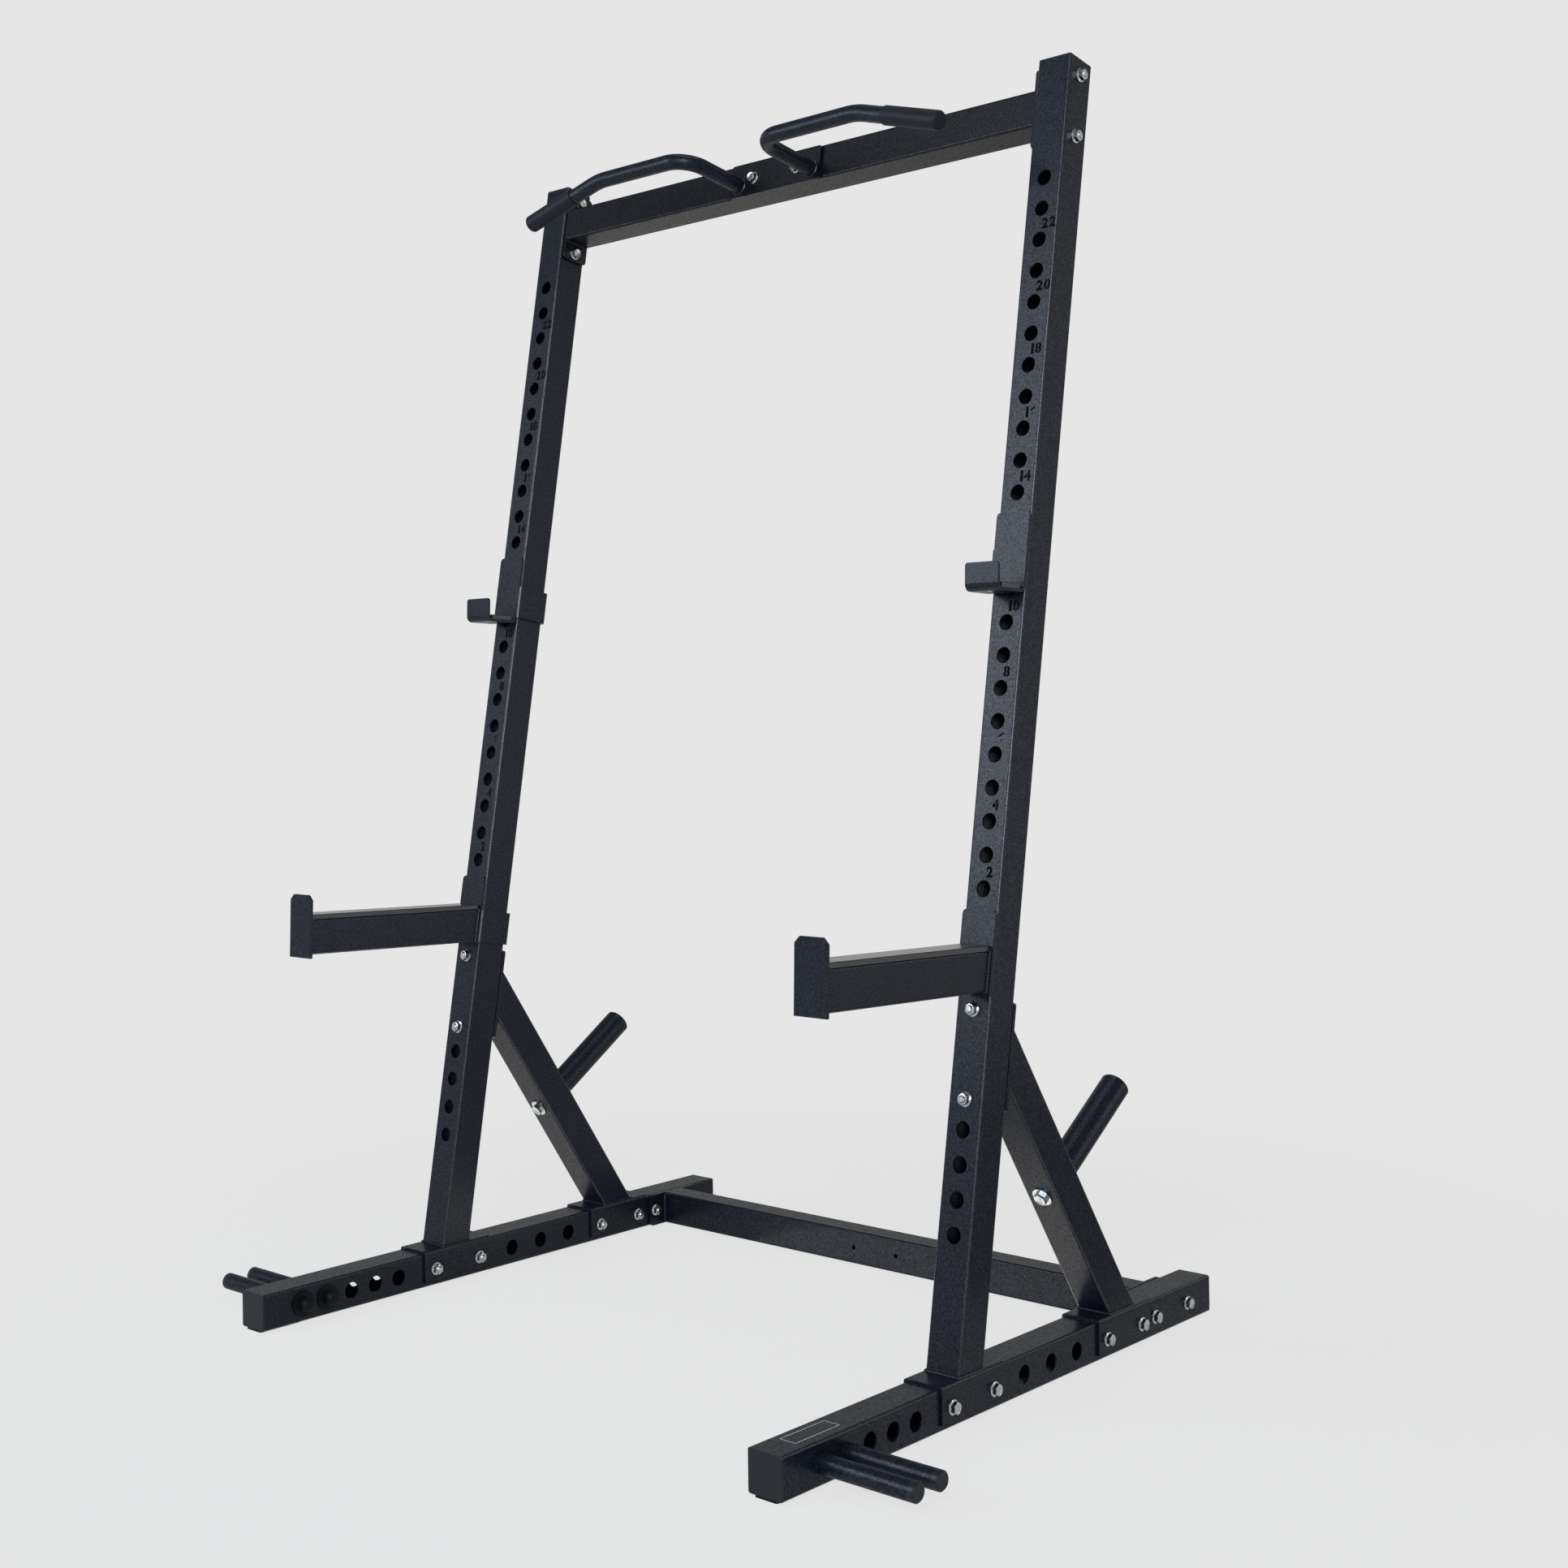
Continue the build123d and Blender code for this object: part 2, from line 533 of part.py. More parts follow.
# Closing pieces
def make_tube_cap(name, plane):
    """Moulded plug with a flush head, on a tube's cut end."""
    plug_size = TUBE - 2 * TUBE_WALL - 2 * CAP_FIT
    plug_inside = plug_size - 2 * CAP_PLUG_WALL
    with BuildPart() as cap:
        with BuildSketch(plane):
            RectangleRounded(TUBE, TUBE, TUBE_CORNER)
        extrude(amount=CAP_HEAD)
        rim = cap.faces().sort_by(Axis(plane.origin, plane.z_dir))[-1].edges()
        chamfer(rim, CAP_ROUND)
        with BuildSketch(plane):
            Rectangle(plug_size, plug_size)
            Rectangle(plug_inside, plug_inside, mode=Mode.SUBTRACT)
        extrude(amount=-CAP_PLUG)
    save(cap, name)


def make_floor_pad(name, x, y):
    """Rubber pad under a rail's end."""
    with BuildPart() as pad:
        with BuildSketch(Plane(origin=(x, y, 0))):
            RectangleRounded(TUBE - 2 * PAD_INSET, PAD_LENGTH, TUBE_CORNER)
        extrude(amount=PAD_THICKNESS)
    save(pad, name)


# Plate horns
def make_horn(name, side):
    """Plate storage horn: tube with a tapped base."""
    seat = brace_plane(side, HORN_RISE, TUBE / 2)
    with BuildPart() as horn:
        with BuildSketch(seat):
            Circle(HORN_DIAMETER / 2)
        extrude(amount=HORN_LENGTH)
        with BuildSketch(seat.offset(HORN_BASE)):
            Circle(HORN_DIAMETER / 2 - HORN_WALL)
        extrude(amount=HORN_LENGTH - HORN_BASE, mode=Mode.SUBTRACT)
        extrude(circles(seat, [(0, 0)], HORN_BOLT + 2 * THREAD_FIT), amount=HORN_BASE, mode=Mode.SUBTRACT)
    save(horn, name)


def make_horn_cap(name, side):
    """Moulded end of a plate horn."""
    end = brace_plane(side, HORN_RISE, TUBE / 2 + HORN_LENGTH)
    plug_radius = HORN_DIAMETER / 2 - HORN_WALL - CAP_FIT
    with BuildPart() as cap:
        with BuildSketch(end):
            Circle(HORN_DIAMETER / 2)
        extrude(amount=CAP_HEAD)
        rim = cap.faces().sort_by(Axis(end.origin, end.z_dir))[-1].edges()
        chamfer(rim, CAP_ROUND)
        with BuildSketch(end):
            Circle(plug_radius)
            Circle(plug_radius - CAP_PLUG_WALL, mode=Mode.SUBTRACT)
        extrude(amount=-CAP_PLUG)
    save(cap, name)


def make_horn_bolts(name):
    """Hex bolts through the braces into the horns' bases."""
    seats = [brace_plane(side, HORN_RISE, -TUBE / 2 - HORN_WASHER_THICKNESS, -1) for side in SIDES.values()]
    with BuildPart() as bolts:
        with BuildSketch(*seats):
            RegularPolygon(HORN_HEAD_FLATS / 2, 6, major_radius=False)
        extrude(amount=HORN_HEAD_HEIGHT)
        with BuildSketch(*seats):
            Circle(HORN_BOLT / 2)
        extrude(amount=-(HORN_WASHER_THICKNESS + TUBE + HORN_BASE + HORN_BOLT_TAIL))
    save(bolts, name)


def make_horn_washers(name):
    """Wide washers under the horns' bolt heads."""
    with BuildPart() as washers:
        with BuildSketch(*[brace_plane(side, HORN_RISE, -TUBE / 2, -1) for side in SIDES.values()]):
            Circle(HORN_WASHER / 2)
            Circle((HORN_BOLT + BOLT_CLEARANCE) / 2, mode=Mode.SUBTRACT)
        extrude(amount=HORN_WASHER_THICKNESS)
    save(washers, name)


# Pull-up handles
def drooping_leg(side, length):
    """Point along a handle's drooping leg from the knee."""
    droop = radians(HANDLE_DROOP)
    across = side * (HANDLE_KNEE + length * cos(droop))
    return on_upright(0, across, HANDLE_PLATE_FRONT + HANDLE_REACH, HANDLE_LEVEL - length * sin(droop))


def make_handle_plate(name):
    """Plate that carries both handles, bolted to the beam's front."""
    length = 2 * (HANDLE_ROOT + HANDLE_TUBE / 2 + HANDLE_EDGE)
    with BuildPart() as plate:
        with BuildSketch(front_plane(0, BEAM_FRONT)):
            with Locations((0, HANDLE_BOLT_RISE)):
                RectangleRounded(length, HANDLE_PLATE_HEIGHT, HANDLE_PLATE_CORNER)
            with Locations(*[(end * HANDLE_BOLT_SPACING / 2, HANDLE_BOLT_RISE) for end in (-1, 1)]):
                Circle(BOLT_HOLE / 2, mode=Mode.SUBTRACT)
        extrude(amount=HANDLE_PLATE)
    save(plate, name)


def make_handle(name, side):
    """Bent tube: forward from the plate, outward, then down into the grip."""
    root = on_upright(0, side * HANDLE_ROOT, HANDLE_PLATE_FRONT, HANDLE_LEVEL)
    corner = root + FORWARD * HANDLE_REACH
    knee = drooping_leg(side, 0)
    end = drooping_leg(side, GRIP_START + GRIP_LENGTH - GRIP_END - GRIP_FIT)
    with BuildPart() as handle:
        with BuildLine() as route:
            FilletPolyline(root, corner, knee, end, radius=[HANDLE_ROOT_BEND, HANDLE_KNEE_BEND])
        with BuildSketch(Plane(origin=root, x_dir=ACROSS, z_dir=FORWARD)) as ring:
            Circle(HANDLE_TUBE / 2)
            Circle(HANDLE_TUBE / 2 - HANDLE_WALL, mode=Mode.SUBTRACT)
        sweep(ring.sketch, path=route.line)
    save(handle, name)


def make_grip(name, side):
    """Rubber sleeve, closed and rounded at its end."""
    start = drooping_leg(side, GRIP_START)
    along = drooping_leg(side, GRIP_START + GRIP_LENGTH) - start
    base = Plane(origin=start, x_dir=FORWARD, z_dir=along)
    with BuildPart() as grip:
        with BuildSketch(base):
            Circle(GRIP_RADIUS)
        extrude(amount=GRIP_LENGTH)
        rims = grip.edges().filter_by(GeomType.CIRCLE).sort_by(Axis(start, along))
        fillet(rims[-1], GRIP_ROUND)
        rims = grip.edges().filter_by(GeomType.CIRCLE).sort_by(Axis(start, along))
        fillet(rims[0], GRIP_LIP_ROUND)
        bore = circles(base, [(0, 0)], HANDLE_TUBE + 2 * GRIP_FIT)
        extrude(bore, amount=GRIP_LENGTH - GRIP_END, mode=Mode.SUBTRACT)
    save(grip, name)


# Roll-to-lock fittings
def make_spotter_arm(name, side):
    """Spotter arm: box arm, pin, tongue, stop plate and band, welded together."""
    root = on_upright(side, 0, 0, ARM_PIN - ARM_DROP)
    arm_rear = Plane(origin=root - ARM_FORWARD * TUBE, x_dir=ACROSS, z_dir=ARM_FORWARD)
    stop_rear = Plane(origin=root + ARM_FORWARD * ARM_LENGTH, x_dir=ACROSS, z_dir=ARM_FORWARD)
    with BuildPart() as arm:
        extrude(tube_section(arm_rear, ARM_WIDTH, ARM_HEIGHT), amount=TUBE + ARM_LENGTH)
        split(bisect_by=front_plane(side, TONGUE_FRONT), keep=Keep.TOP)
        for seat in arm_screw_seats(side):
            screw_hole = circles(seat, [(0, 0)], SCREW + 2 * SCREW_CLEARANCE)
            extrude(screw_hole, amount=-(LINER_THICKNESS + 2 * TUBE_WALL), mode=Mode.SUBTRACT)
        extrude(circles(front_plane(side, FITTING_GAP), [(0, ARM_PIN)], 2 * PIN_RADIUS), amount=-PIN_LENGTH)
        pin_end = arm.edges().filter_by(GeomType.CIRCLE).sort_by(Axis((0, 0, 0), FORWARD))[0]
        fillet(pin_end, PIN_ROUND)
        with BuildSketch(front_plane(side, FITTING_GAP)) as tongue:
            with Locations((0, ARM_PIN + (TONGUE_RISE - ARM_TONGUE) / 2)):
                Rectangle(TUBE, TONGUE_RISE + ARM_TONGUE)
            fillet(tongue.vertices().group_by(Axis.Y)[-1], TONGUE_CORNER)
        extrude(amount=FITTING_PLATE)
        with BuildSketch(stop_rear) as stop:
            with Locations((0, (STOP_HEIGHT - ARM_HEIGHT) / 2 - STOP_OVERHANG)):
                Rectangle(STOP_WIDTH, STOP_HEIGHT)
            chamfer(stop.vertices().group_by(Axis.Y)[-1], STOP_CORNER)
        extrude(amount=STOP_PLATE)
        extrude(band_section(side, ARM_PIN - ARM_BAND_DROP - BAND_HEIGHT / 2), amount=BAND_HEIGHT)
    save(arm, name)


def make_bar_cup(name, side):
    """Bar cup: pin, band, and a plate bent into tongue, floor and lip."""
    bend = Vector(TONGUE_MIDDLE, CUP_PIN - CUP_TONGUE)
    lip = bend + Vector(cos(CUP_SLOPE), -sin(CUP_SLOPE)) * CUP_FLOOR
    lip_top = lip + Vector(sin(CUP_SLOPE), cos(CUP_SLOPE)) * CUP_LIP
    with BuildPart() as cup:
        extrude(circles(front_plane(side, FITTING_GAP), [(0, CUP_PIN)], 2 * PIN_RADIUS), amount=-PIN_LENGTH)
        pin_end = cup.edges().filter_by(GeomType.CIRCLE).sort_by(Axis((0, 0, 0), FORWARD))[0]
        fillet(pin_end, PIN_ROUND)
        with BuildSketch(profile_plane(side)):
            with BuildLine():
                FilletPolyline((TONGUE_MIDDLE, CUP_PIN + TONGUE_RISE), bend, lip, lip_top, radius=CUP_BEND)
            trace(line_width=FITTING_PLATE)
        extrude(amount=TUBE / 2, both=True)
        fillet(cup.edges().filter_by(Axis((0, 0, 0), FORWARD)), TONGUE_CORNER)
        floor_edges = cup.edges().filter_by(Axis((0, 0, 0), ARM_FORWARD))
        fillet(floor_edges.group_by(Axis((0, 0, 0), ARM_UP))[-1], CUP_LIP_CORNER)
        for seat in cup_screw_seats(side):
            screw_hole = circles(seat, [(0, 0)], SCREW + 2 * SCREW_CLEARANCE)
            extrude(screw_hole, amount=-(CUP_LINER + 2 * FITTING_PLATE), mode=Mode.SUBTRACT)
        extrude(band_section(side, CUP_PIN - CUP_BAND_DROP - BAND_HEIGHT / 2), amount=BAND_HEIGHT)
    save(cup, name)


def make_liner(name, seat, ends, width, thickness, screws):
    """Plastic wear strip with countersunk screw holes."""
    rear, front = ends
    with BuildPart() as liner:
        with BuildSketch(seat):
            with Locations((0, -(rear + front) / 2)):
                Rectangle(width, front - rear)
        extrude(amount=thickness)
        top = liner.faces().sort_by(Axis((0, 0, 0), seat.z_dir))[-1]
        chamfer(top.edges(), LINER_EDGE)
        with Locations(*[screw.location for screw in screws]):
            CounterSinkHole(
                radius=SCREW / 2 + SCREW_CLEARANCE,
                counter_sink_radius=SCREW_HEAD / 2 + SCREW_CLEARANCE,
                counter_sink_angle=SCREW_ANGLE,
            )
    save(liner, name)


def make_screws(name, seats, length):
    """Countersunk screws, heads flush with the liner."""
    head_depth = (SCREW_HEAD - SCREW) / 2 / tan(radians(SCREW_ANGLE / 2))
    with BuildPart() as screws:
        for seat in seats:
            with BuildSketch(Plane(origin=seat.origin, x_dir=seat.x_dir, z_dir=seat.y_dir)) as half:
                with BuildLine():
                    Polyline(
                        (0, 0),
                        (SCREW_HEAD / 2, 0),
                        (SCREW / 2, head_depth),
                        (SCREW / 2, length),
                        (0, length),
                        close=True,
                    )
                make_face()
            revolve(half.sketch, axis=Axis(seat.origin, seat.z_dir))
    save(screws, name)


# Band pegs
def make_peg(name, side, y):
    """Peg through a rail, with a stud on the inner side and a socket for its end cap."""
    inner = side_plane(side * SPAN / 2, y, side)
    with BuildPart() as peg:
        with BuildSketch(inner):
            Circle(PEG_RADIUS)
        extrude(amount=TUBE + PEG_LENGTH)
        with BuildSketch(inner):
            Circle(PEG_STUD / 2)
        extrude(amount=-PEG_STUD_LENGTH)
        end = inner.offset(TUBE + PEG_LENGTH)
        socket = circles(end, [(0, 0)], PEG_SPIGOT + 2 * CAP_FIT)
        extrude(socket, amount=-PEG_SPIGOT_LENGTH - CAP_FIT, mode=Mode.SUBTRACT)
    save(peg, name)


def make_peg_caps(name):
    """Moulded ends of the pegs."""
    ends = rail_seats(TUBE / 2 + PEG_LENGTH, peg_holes, 1)
    with BuildPart() as caps:
        with BuildSketch(*ends):
            Circle(PEG_RADIUS)
        extrude(amount=PEG_CAP)
        chamfer(caps.faces().sort_by(Axis.X)[-PEG_COUNT:].edges(), PEG_CAP_ROUND)
        chamfer(caps.faces().sort_by(Axis.X)[:PEG_COUNT].edges(), PEG_CAP_ROUND)
        with BuildSketch(*ends):
            Circle(PEG_SPIGOT / 2)
        extrude(amount=-PEG_SPIGOT_LENGTH)
    save(caps, name)


def make_peg_washers(name):
    """Wide washers that close the pegs' holes on the rails' inner faces."""
    with BuildPart() as washers:
        with BuildSketch(*rail_seats(-TUBE / 2, peg_holes, -1)):
            Circle(PEG_WASHER / 2)
            Circle(PEG_STUD / 2 + THREAD_FIT, mode=Mode.SUBTRACT)
        extrude(amount=PEG_WASHER_THICKNESS)
    save(washers, name)


def make_peg_nuts(name):
    """Domed nuts on the pegs' studs."""
    seats = rail_seats(-TUBE / 2 - PEG_WASHER_THICKNESS, peg_holes, -1)
    with BuildPart() as nuts:
        with BuildSketch(*seats):
            Circle(PEG_NUT / 2)
        extrude(amount=PEG_NUT_HEIGHT)
        crowns = nuts.faces().filter_by(Axis.X).sort_by(lambda face: abs(face.center().X))[: len(seats)]
        fillet(crowns.edges(), PEG_NUT_ROUND)
        with BuildSketch(*seats):
            Circle(PEG_STUD / 2 + THREAD_FIT)
        extrude(amount=PEG_NUT_HEIGHT - PEG_NUT_CROWN + THREAD_FIT, mode=Mode.SUBTRACT)
    save(nuts, name)


# Bolts and nuts of the frame
def make_flange_bolts(name, seats, grip):
    """Hex flange bolts, by the planes under their heads and what they clamp."""
    with BuildPart() as bolts:
        with BuildSketch(*seats):
            Circle(HEAD_FLANGE / 2)
        extrude(amount=FLANGE_THICKNESS)
        with BuildSketch(*seats):
            RegularPolygon(HEAD_FLATS / 2, 6, major_radius=False)
        extrude(amount=HEAD_HEIGHT)
        with BuildSketch(*seats):
            Circle(BOLT / 2)
        extrude(amount=-(grip + NUT_HEIGHT + BOLT_TAIL))
    save(bolts, name)


def make_flange_nuts(name, seats):
    """Hex flange nuts, by the planes under them."""
    with BuildPart() as nuts:
        with BuildSketch(*seats):
            Circle(HEAD_FLANGE / 2)
        extrude(amount=FLANGE_THICKNESS)
        with BuildSketch(*seats):
            RegularPolygon(HEAD_FLATS / 2, 6, major_radius=False)
        extrude(amount=NUT_HEIGHT)
        with BuildSketch(*seats):
            Circle(BOLT / 2 + THREAD_FIT)
        extrude(amount=NUT_HEIGHT, mode=Mode.SUBTRACT)
    save(nuts, name)


# Build the frame
for word, side in SIDES.items():
    x = side * STANCE / 2
    make_rail(f"base_rail_{word}", side)
    make_tube_cap(f"rail_cap_front_{word}", cross_plane(x, -RAIL_LENGTH / 2, RAIL_AXIS, -1))
    make_tube_cap(f"rail_cap_rear_{word}", cross_plane(x, RAIL_LENGTH / 2, RAIL_AXIS, 1))
    pad_y = RAIL_LENGTH / 2 + CAP_HEAD - PAD_SETBACK - PAD_LENGTH / 2
    make_floor_pad(f"floor_pad_front_{word}", x, -pad_y)
    make_floor_pad(f"floor_pad_rear_{word}", x, pad_y)
    make_upright(f"upright_{word}", side)
    make_foot_saddle(f"foot_saddle_{word}", side)
    make_tube_cap(f"upright_cap_{word}", section_plane(side, UPRIGHT_LENGTH))
    make_brace(f"brace_{word}", side)
    make_horn(f"plate_horn_{word}", side)
    make_horn_cap(f"horn_cap_{word}", side)
make_rear_tie("rear_cross_tube")
make_pull_up_beam("pull_up_beam")
make_handle_plate("handle_plate")

# Build what hangs on the frame
for word, side in SIDES.items():
    make_handle(f"pull_up_handle_{word}", side)
    make_grip(f"handle_grip_{word}", side)
    make_spotter_arm(f"spotter_arm_{word}", side)
    make_liner(
        f"spotter_liner_{word}",
        arm_plane(side),
        arm_liner_ends(),
        ARM_WIDTH,
        LINER_THICKNESS,
        arm_screw_seats(side),
    )
    make_screws(f"spotter_screws_{word}", arm_screw_seats(side), LINER_THICKNESS + TUBE_WALL + SCREW_TAIL)
    make_bar_cup(f"bar_cup_{word}", side)
    make_liner(
        f"bar_cup_liner_{word}",
        cup_plane(side),
        cup_liner_ends(),
        TUBE - 2 * CUP_LINER_INSET,
        CUP_LINER,
        cup_screw_seats(side),
    )
    make_screws(f"bar_cup_screws_{word}", cup_screw_seats(side), CUP_LINER + FITTING_PLATE)
    for place, y in zip(("rear", "front"), peg_holes):
        make_peg(f"band_peg_{place}_{word}", side, y)
make_peg_caps("peg_caps")
make_peg_washers("peg_washers")
make_peg_nuts("peg_nuts")

# Build the bolted joints
upright_columns = [side * STANCE / 2 for side in SIDES.values()]
handle_columns = [end * HANDLE_BOLT_SPACING / 2 for end in (-1, 1)]
make_flange_bolts("saddle_bolts", rail_seats(SADDLE_WIDTH / 2, saddle_bolts, 1), SADDLE_WIDTH)
make_flange_nuts("saddle_nuts", rail_seats(-SADDLE_WIDTH / 2, saddle_bolts, -1))
make_flange_bolts("cross_tube_bolts", rail_seats(TUBE / 2, tie_bolts, 1), TUBE + END_PLATE)
make_flange_nuts("cross_tube_nuts", rail_seats(-TUBE / 2 - END_PLATE, tie_bolts, -1))
make_flange_bolts("beam_bolts", flank_seats(-TUBE / 2 - END_PLATE, beam_bolts, -1), TUBE + END_PLATE)
make_flange_nuts("beam_nuts", flank_seats(TUBE / 2, beam_bolts, 1))
brace_heads = face_seats(upright_columns, -TUBE - BRACE_PLATE, brace_bolts, -1)
make_flange_bolts("brace_bolts", brace_heads, TUBE + BRACE_PLATE)
make_flange_nuts("brace_nuts", face_seats(upright_columns, 0, brace_bolts, 1))
handle_heads = face_seats(handle_columns, HANDLE_PLATE_FRONT, [HANDLE_BOLT_RISE], 1)
make_flange_bolts("handle_bolts", handle_heads, HANDLE_PLATE + BEAM_DEPTH)
handle_backs = face_seats(handle_columns, BEAM_FRONT - BEAM_DEPTH, [HANDLE_BOLT_RISE], -1)
make_flange_nuts("handle_nuts", handle_backs)
make_horn_bolts("horn_bolts")
make_horn_washers("horn_washers")
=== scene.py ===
"""Looks of the lifting rack: black powder-coated tube, zinc-plated bolts, moulded ends and rubber sleeves."""
import json
from math import atan2, cos, pi, radians, sin, tan

import bpy
from mathutils import Matrix, Vector


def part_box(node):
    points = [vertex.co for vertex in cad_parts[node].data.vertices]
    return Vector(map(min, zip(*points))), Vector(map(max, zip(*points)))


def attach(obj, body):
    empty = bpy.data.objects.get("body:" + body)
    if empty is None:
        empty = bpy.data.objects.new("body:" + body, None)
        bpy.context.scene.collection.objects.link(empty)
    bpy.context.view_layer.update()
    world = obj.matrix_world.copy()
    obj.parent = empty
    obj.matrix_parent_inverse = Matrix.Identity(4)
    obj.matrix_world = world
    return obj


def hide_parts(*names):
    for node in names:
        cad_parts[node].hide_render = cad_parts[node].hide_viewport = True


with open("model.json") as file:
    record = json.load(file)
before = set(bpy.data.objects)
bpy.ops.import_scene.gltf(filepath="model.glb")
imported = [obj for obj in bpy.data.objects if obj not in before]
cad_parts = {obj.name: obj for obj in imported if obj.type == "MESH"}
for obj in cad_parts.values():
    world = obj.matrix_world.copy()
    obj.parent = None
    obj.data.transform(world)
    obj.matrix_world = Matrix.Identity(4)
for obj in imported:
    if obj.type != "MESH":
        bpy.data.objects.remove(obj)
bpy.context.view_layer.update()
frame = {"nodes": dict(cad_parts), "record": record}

# Sizes of the frame, in metres
MM = 0.001
TUBE = 60 * MM
TIE_DEPTH = 50 * MM
BEAM_DEPTH = 55 * MM
STANCE = 1146 * MM
LEAN = radians(9.7)
RAIL_AXIS = 33 * MM
SADDLE_TOP = 67 * MM
SADDLE_WIDTH = 68.6 * MM
FOOT_MIDDLE = -131.6 * MM
FOOT_FRONT = FOOT_MIDDLE - TUBE / cos(LEAN) / 2
BRACE_FOOT = 270.4 * MM
BRACE_JOINT = 453.4 * MM
BRACE_PLATE = 6 * MM
TIE_MIDDLE = 417.9 * MM
END_PLATE = 6 * MM
BEAM_RISE = 1917 * MM
BEAM_FRONT = -5 * MM
HANDLE_PLATE = 6 * MM
HANDLE_BOLT_RISE = 1914.5 * MM
HANDLE_LEVEL = 1905 * MM
HANDLE_ROOT = 83 * MM
HANDLE_TUBE = 27 * MM
HORN_RISE = 268 * MM
FIRST_HOLE = 644.6 * MM
HOLE_PITCH = 50 * MM

# Bolts of each joint, from its middle
SADDLE_BOLT_REACH = 50 * MM
TIE_BOLT_REACH = 50 * MM
BEAM_BOLT_REACH = 50 * MM
BRACE_BOLT_REACH = 65 * MM
HANDLE_BOLT_REACH = 50 * MM

# Sizes of the flange bolts and nuts
BOLT = 10 * MM
HEAD_FLATS = 16 * MM
HEAD_HEIGHT = 9 * MM
HEAD_CHAMFER = 0.4 * MM
HEAD_RIM = 2.2 * MM
HEAD_DISH = 0.7 * MM
HEX_FOOT = 1.2 * MM            # the hexagon starts inside the flange's cone
FLANGE = 22 * MM
FLANGE_EDGE = 0.9 * MM
FLANGE_CONE = 2.4 * MM         # height at which the cone meets the hexagon
NUT_HEIGHT = 9 * MM
NUT_LEAD = 0.9 * MM            # chamfer at both ends of the bore
BOLT_TAIL = 2 * MM
THREAD_PITCH = 1.5 * MM
THREAD_DEPTH = 0.8 * MM
THREAD_LENGTH = 14 * MM
THREAD_FIT = 0.1 * MM
CREST_END = 0.2                # of the pitch
ROOT_PLACE = 0.6               # of the pitch
CREST_WEAR = 0.1 * MM
TIP_LENGTH = 0.9 * MM
TIP_SHOULDER = 0.2 * MM
TIP_NARROWING = 0.3 * MM

# Sizes of the horn bolts
HORN_BOLT = 12 * MM
HORN_HEAD_FLATS = 19 * MM
HORN_HEAD_HEIGHT = 7.5 * MM
HORN_HEAD_CHAMFER = 0.5 * MM
HORN_HEAD_RIM = 3.0 * MM
HORN_HEAD_DISH = 0.6 * MM
HORN_BOLT_LENGTH = 76.5 * MM
HORN_THREAD_LENGTH = 20 * MM
HORN_WASHER = 2.5 * MM

# Sizes of the spotter arms, which roll on the uprights
ARM_PITCH = radians(1.8)
TONGUE_FRONT = 5.5 * MM
ARM_PIN = FIRST_HOLE
ARM_DROP = 69.6 * MM
ARM_WIDTH = 50 * MM
ARM_HEIGHT = 60 * MM
ARM_LENGTH = 367.5 * MM

# Directions
SIDES = {"left": -1, "right": 1}
ENDS = (-1, 1)
ACROSS = Vector((1, 0, 0))
ALONG_RAIL = Vector((0, 1, 0))
UP = Vector((0, sin(LEAN), cos(LEAN)))
FORWARD = Vector((0, -cos(LEAN), sin(LEAN)))
ARM_FORWARD = Vector((0, -cos(ARM_PITCH), sin(ARM_PITCH)))
ARM_UP = Vector((0, sin(ARM_PITCH), cos(ARM_PITCH)))
ARM_SLOPE = LEAN - ARM_PITCH


def on_upright(x, forward, along):
    """Point by its place across the rack, ahead of and along the uprights' front faces."""
    return Vector((x, FOOT_FRONT, SADDLE_TOP)) + FORWARD * forward + UP * along


brace_top = on_upright(0, -TUBE - BRACE_PLATE, BRACE_JOINT)
BRACE_TILT = atan2(BRACE_FOOT - brace_top.y, brace_top.z - SADDLE_TOP)
BRACE_UP = Vector((0, -sin(BRACE_TILT), cos(BRACE_TILT)))
BRACE_BACK = Vector((0, cos(BRACE_TILT), sin(BRACE_TILT)))


# Materials
def linear(code):
    """Linear colour of an sRGB hex code."""
    parts = [int(code[place:place + 2], 16) / 255 for place in (1, 3, 5)]
    return [part / 12.92 if part <= 0.04045 else ((part + 0.055) / 1.055) ** 2.4 for part in parts] + [1.0]


def add(tree, kind, values=None, links=None, **settings):
    """Add a node with its settings, the values of its sockets and what is linked to them."""
    node = tree.nodes.new(kind)
    for name, value in settings.items():
        setattr(node, name, value)
    for socket, value in (values or {}).items():
        node.inputs[socket].default_value = value
    for socket, source in (links or {}).items():
        tree.links.new(source, node.inputs[socket])
    return node


def blank(name):
    """New material with no nodes yet, and its node tree."""
    material = bpy.data.materials.new(name)
    material.use_nodes = True
    material.node_tree.nodes.clear()
    return material, material.node_tree


DRIFT_SHARE = 0.15             # of the slow drift in a tone, beside all of the grit
TONE_RANGE = (0.46, 0.7)       # of that sum, from the dark colour to the pale one
RESIN_IOR = 1.5
DULL_BODY = 0.05               # specular level of the body under the skin


